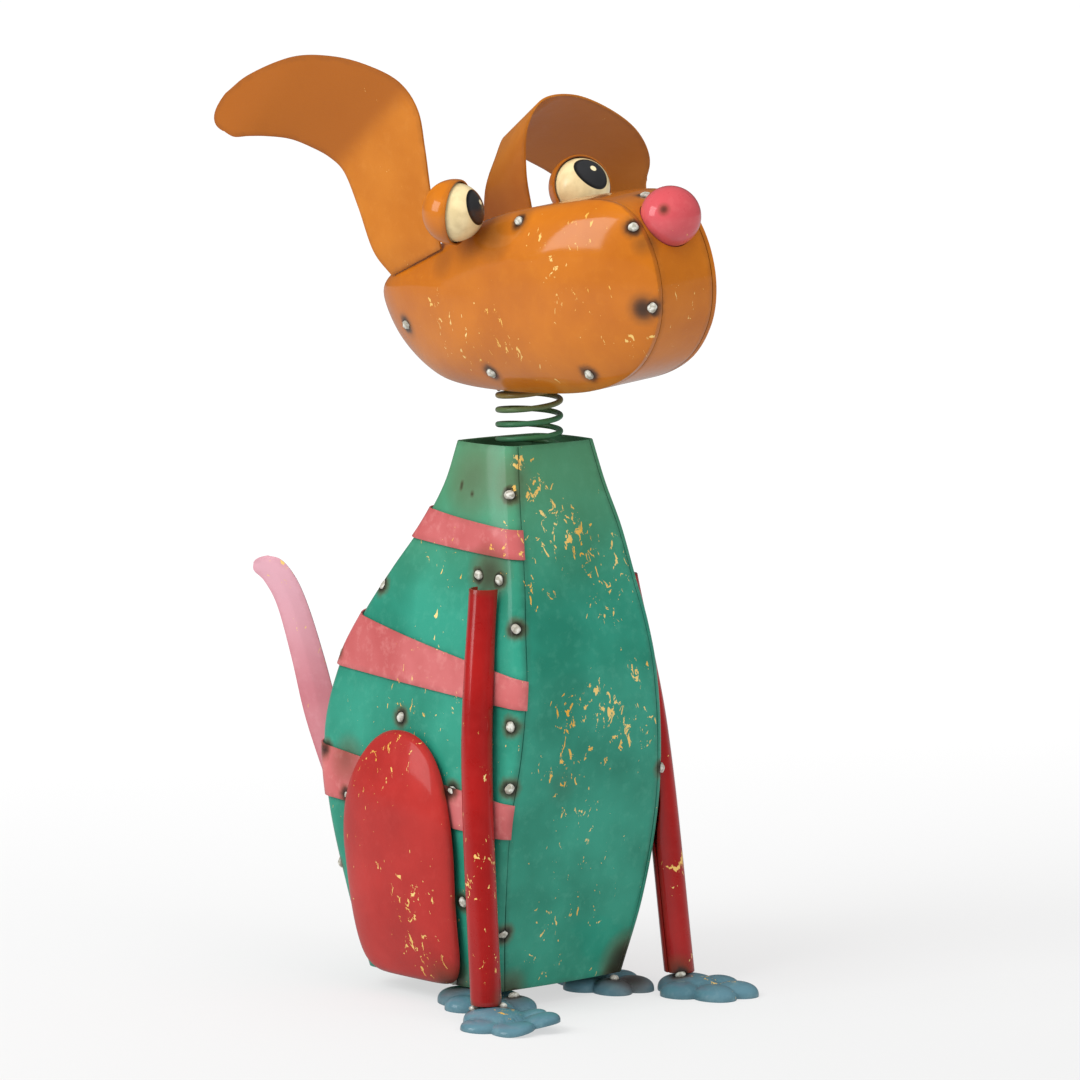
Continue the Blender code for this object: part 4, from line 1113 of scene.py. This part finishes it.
def painted_eye(name):
    """Cream enamel with a brushed charcoal pupil, its black rim and its cream glint."""
    material, tree = new_material(name)
    where = add(tree, "TexCoord").outputs["Object"]
    marks = {key: add(tree, "Attribute", {"attribute_name": key}).outputs["Fac"]
             for key in ("pupil", "glint")}
    # Faint yellowed clouds about 5 mm across
    cloud = add(tree, "TexNoise", values={"Scale": per_mm(5), "Detail": 3.0}, links={"Vector": where})
    cloud_mask = add(tree, "MapRange", values={"From Min": 0.4, "From Max": 0.65},
                     links={"Value": cloud.outputs["Fac"]}).outputs["Result"]
    tone = add(tree, "Mix", COLOUR, {6: srgb("#E3CF9E"), 7: srgb("#D3BE8E")}, {"Factor": cloud_mask})
    inside = add(tree, "MapRange", values={"From Min": 1.01, "From Max": 0.98},
                 links={"Value": marks["pupil"]})
    charcoal = add(tree, "MapRange", SOFTLY, {"From Min": 0.97, "From Max": 0.75}, {"Value": marks["pupil"]})
    dark = add(tree, "Mix", COLOUR, {6: srgb("#0B0A0A"), 7: srgb("#2A2B2D")},
               {"Factor": charcoal.outputs["Result"]})
    tone = add(tree, "Mix", COLOUR, links={"Factor": inside.outputs["Result"], 6: tone.outputs[MIX_OUT],
                                           7: dark.outputs[MIX_OUT]})
    # Painted highlight: a small cream glint on each pupil
    glint = add(tree, "MapRange", values={"From Min": 1.12, "From Max": 0.9}, links={"Value": marks["glint"]})
    tone = add(tree, "Mix", COLOUR, {7: srgb("#EBDDB2")},
               {"Factor": glint.outputs["Result"], 6: tone.outputs[MIX_OUT]})
    relief = add(tree, "Bump", values={"Strength": 0.15, "Distance": 0.0001},
                 links={"Height": cloud.outputs["Fac"]})
    shader = add(tree, "BsdfPrincipled",
                 values={"Roughness": 0.32, "Coat Weight": 0.5, "Coat Roughness": 0.14},
                 links={"Base Color": tone.outputs[MIX_OUT], "Normal": relief.outputs["Normal"]})
    add(tree, "OutputMaterial", links={"Surface": shader.outputs["BSDF"]})
    return material


def bead_steel(name):
    """Cooled weld metal: bright grey steel with a dull oxide skin in its dips."""
    material, tree = new_material(name)
    where = add(tree, "TexCoord").outputs["Object"]
    oxide = add(tree, "TexNoise", values={"Scale": per_mm(1.6), "Detail": 4.0}, links={"Vector": where})
    dips = add(tree, "MapRange", values={"From Min": 0.42, "From Max": 0.62},
               links={"Value": oxide.outputs["Fac"]}).outputs["Result"]
    tone = add(tree, "Mix", COLOUR, {6: srgb("#A29E90"), 7: srgb("#DCDBD2")}, {"Factor": dips})
    rough = add(tree, "MapRange", values={"To Min": 0.5, "To Max": 0.28}, links={"Value": dips})
    relief = add(tree, "Bump", values={"Strength": 0.4, "Distance": 0.0003},
                 links={"Height": oxide.outputs["Fac"]})
    shader = add(tree, "BsdfPrincipled", values={"Metallic": 0.15},
                 links={"Base Color": tone.outputs[MIX_OUT], "Roughness": rough.outputs["Result"],
                        "Normal": relief.outputs["Normal"]})
    add(tree, "OutputMaterial", links={"Surface": shader.outputs["BSDF"]})
    return material


finishes = {
    "body_teal": brushed_enamel("teal enamel on sheet steel", "#2F9079", "#217A64", "#58A890",
                                tone_and_shade="#5F8F60"),
    "stripe_pink": brushed_enamel("salmon enamel on thin strip", "#C06767", "#B15454", "#D08884", mottle=0.45,
                                  edge_grime_and_shade="#6E3A34"),
    "haunch_red": brushed_enamel("brick red enamel on pressed plate", "#B02D28", "#9E2521", "#BC403A"),
    "leg_red": brushed_enamel("deep red enamel on rolled channel", "#9E1412", "#8C100F", "#A8221F",
                              rough=0.3, gloss=0.8),
    "paw_blue": brushed_enamel("blue-grey enamel on pressed steel", "#5E8593", "#4E7480", "#86A5A8",
                               gloss=0.7, edge_grime_and_shade="#3A4A48"),
    "tail_pink": brushed_enamel("pale pink enamel on sheet steel", "#C68188", "#BD717A", "#D49CA3",
                                edge_grime_and_shade="#9C5A60", tone_and_shade="#CE9CA8"),
    "spring_green": brushed_enamel("green to olive enamel on spring wire", "#33684C", "#3F6A3E", "#4E8A60",
                                   tone_and_shade="#8A6226"),
    # The head's second colour is painted shade inside the eyelids; the ears' is painted shade past the raised
    # ear's bend and under the folded ear's arch
    "head_orange": brushed_enamel("orange enamel on deep pressed steel", "#BE6C0E", "#B0600B", "#CA7C1C",
                                  rough=0.4, gloss=0.85, mottle=0.18, flecks=0.84, tone_and_shade="#6A3512"),
    "ear_orange": brushed_enamel("orange enamel on ear sheet", "#BE7220", "#B26617", "#C67F34",
                                 rough=0.42, gloss=0.2, tone_and_shade="#9A5414"),
    "eye_cream": painted_eye("cream enamel with a black pupil"),
    "nose_pink": brushed_enamel("pink enamel on pressed ball", "#CB555B", "#BE4A50", "#D46E6E",
                                rough=0.3, gloss=0.9),
}
steel = bead_steel("weld bead steel")
slots = {entry["node"]: entry["material_slot"] for entry in frame["record"]["subparts"]}
for node, piece in pieces.items():
    piece.data.materials.clear()
    piece.data.materials.append(finishes[slots[node]])
for joined, body in beads.values():
    joined.data.materials.clear()
    joined.data.materials.append(steel)


# riding on the frame
for node, piece in pieces.items():
    if node != "neck_spring":
        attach(piece, BODY_OF[node])
    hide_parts(node)
for joined, body in beads.values():
    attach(joined, body)
# The spring bends from its last coil inside the body to the coil under the head
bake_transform(pieces["neck_spring"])


# camera and light
# The camera looks at a place on the dog's mid line, moved aside by this much in the picture
AIM_HEIGHT = 193.4
AIM_ASIDE = 6.52
AZIMUTH = math.radians(-42.0)
ELEVATION = math.radians(6.8)
CAMERA_REACH = 2607.0
FRAME_PIXELS = 1080.0
FOCAL_PIXELS = 6200.0
SENSOR = 36.0

right_way = Vector((math.cos(AZIMUTH), math.sin(AZIMUTH), 0.0))
back_way = Vector((math.sin(AZIMUTH) * math.cos(ELEVATION),
                   -math.cos(AZIMUTH) * math.cos(ELEVATION), math.sin(ELEVATION)))
up_way = Vector((0, 0, 1))
aim_point = (Vector((0.0, 0.0, AIM_HEIGHT)) + right_way * AIM_ASIDE) * MM + STAND
lens = bpy.data.cameras.new("camera")
lens.sensor_width = SENSOR
lens.lens = SENSOR * FOCAL_PIXELS / FRAME_PIXELS
lens.clip_end = 200.0
camera = bpy.data.objects.new("camera", lens)
bpy.context.scene.collection.objects.link(camera)
camera.location = aim_point + back_way * CAMERA_REACH * MM
camera.rotation_mode = 'QUATERNION'
camera.rotation_quaternion = (-back_way).to_track_quat('-Z', 'Y')
bpy.context.scene.camera = camera


def softbox(name, way, reach, size, power, mirrored):
    """Square lamp that looks at the dog from one way; only a mirrored one shows in the paint's sheen."""
    light = bpy.data.lights.new(name, 'AREA')
    light.shape = 'SQUARE'
    light.size = size
    light.energy = power
    lamp = bpy.data.objects.new(name, light)
    bpy.context.scene.collection.objects.link(lamp)
    lamp.visible_glossy = mirrored
    lamp.location = aim_point + way.normalized() * reach
    lamp.rotation_mode = 'QUATERNION'
    lamp.rotation_quaternion = way.to_track_quat('Z', 'Y')


softbox("key", back_way * 0.75 - right_way * 0.8 + up_way * 0.75, 1.6, 0.8, 16.0, False)
softbox("top", back_way * 0.25 + up_way * 1.0, 1.5, 1.3, 8.0, False)
softbox("front_fill", back_way * 0.7 + right_way * 0.75 + up_way * 0.3, 1.9, 1.2, 9.0, False)
softbox("window", back_way * 0.25 - right_way * 0.85 + up_way * 0.32, 1.6, 0.75, 6.0, True)

world = bpy.data.worlds.new("studio")
world.use_nodes = True
world.node_tree.nodes["Background"].inputs["Color"].default_value = srgb("#FFFFFF")
# Dim in reflections, so that the paint keeps its depth and only the lamps and the floor shine in it
ray = add(world.node_tree, "LightPath").outputs["Is Glossy Ray"]
glow = add(world.node_tree, "MapRange", values={"To Min": 0.62, "To Max": 0.1}, links={"Value": ray})
world.node_tree.links.new(glow.outputs["Result"], world.node_tree.nodes["Background"].inputs["Strength"])
bpy.context.scene.world = world
bpy.context.scene.view_settings.view_transform = 'Standard'

bpy.ops.object.select_all(action='DESELECT')
bpy.ops.mesh.primitive_plane_add(size=120.0, location=(0, 0, 0))
floor = bpy.context.object
floor.name = "floor"
# White paper sweep that glows by its own emission, as painted light, more strongly towards the back and less
# in the paint's reflections
ground, sweep = new_material("glowing white studio floor")
floor_place = add(sweep, "TexCoord").outputs["Object"]
distance = add(sweep, "VectorMath", {"operation": 'DOT_PRODUCT'}, {1: tuple(-back_way)}, {0: floor_place})
glow_towards_back = add(sweep, "MapRange", {"interpolation_type": 'SMOOTHSTEP'},
           {"From Min": -0.6, "From Max": 1.6, "To Min": 0.54, "To Max": 0.88},
           {"Value": distance.outputs["Value"]})
mirrored_ray = add(sweep, "LightPath").outputs["Is Glossy Ray"]
dimming = add(sweep, "MapRange", values={"To Min": 1.0, "To Max": 0.3}, links={"Value": mirrored_ray})
floor_glow_strength = add(sweep, "Math", {"operation": 'MULTIPLY'},
            links={0: glow_towards_back.outputs["Result"], 1: dimming.outputs["Result"]}).outputs[0]
paper = add(sweep, "BsdfPrincipled", values={"Base Color": srgb("#898989"), "Roughness": 0.9,
                                             "Specular IOR Level": 0.1, "Emission Color": srgb("#FFFFFF")},
            links={"Emission Strength": floor_glow_strength})
add(sweep, "OutputMaterial", links={"Surface": paper.outputs["BSDF"]})
floor.data.materials.append(ground)
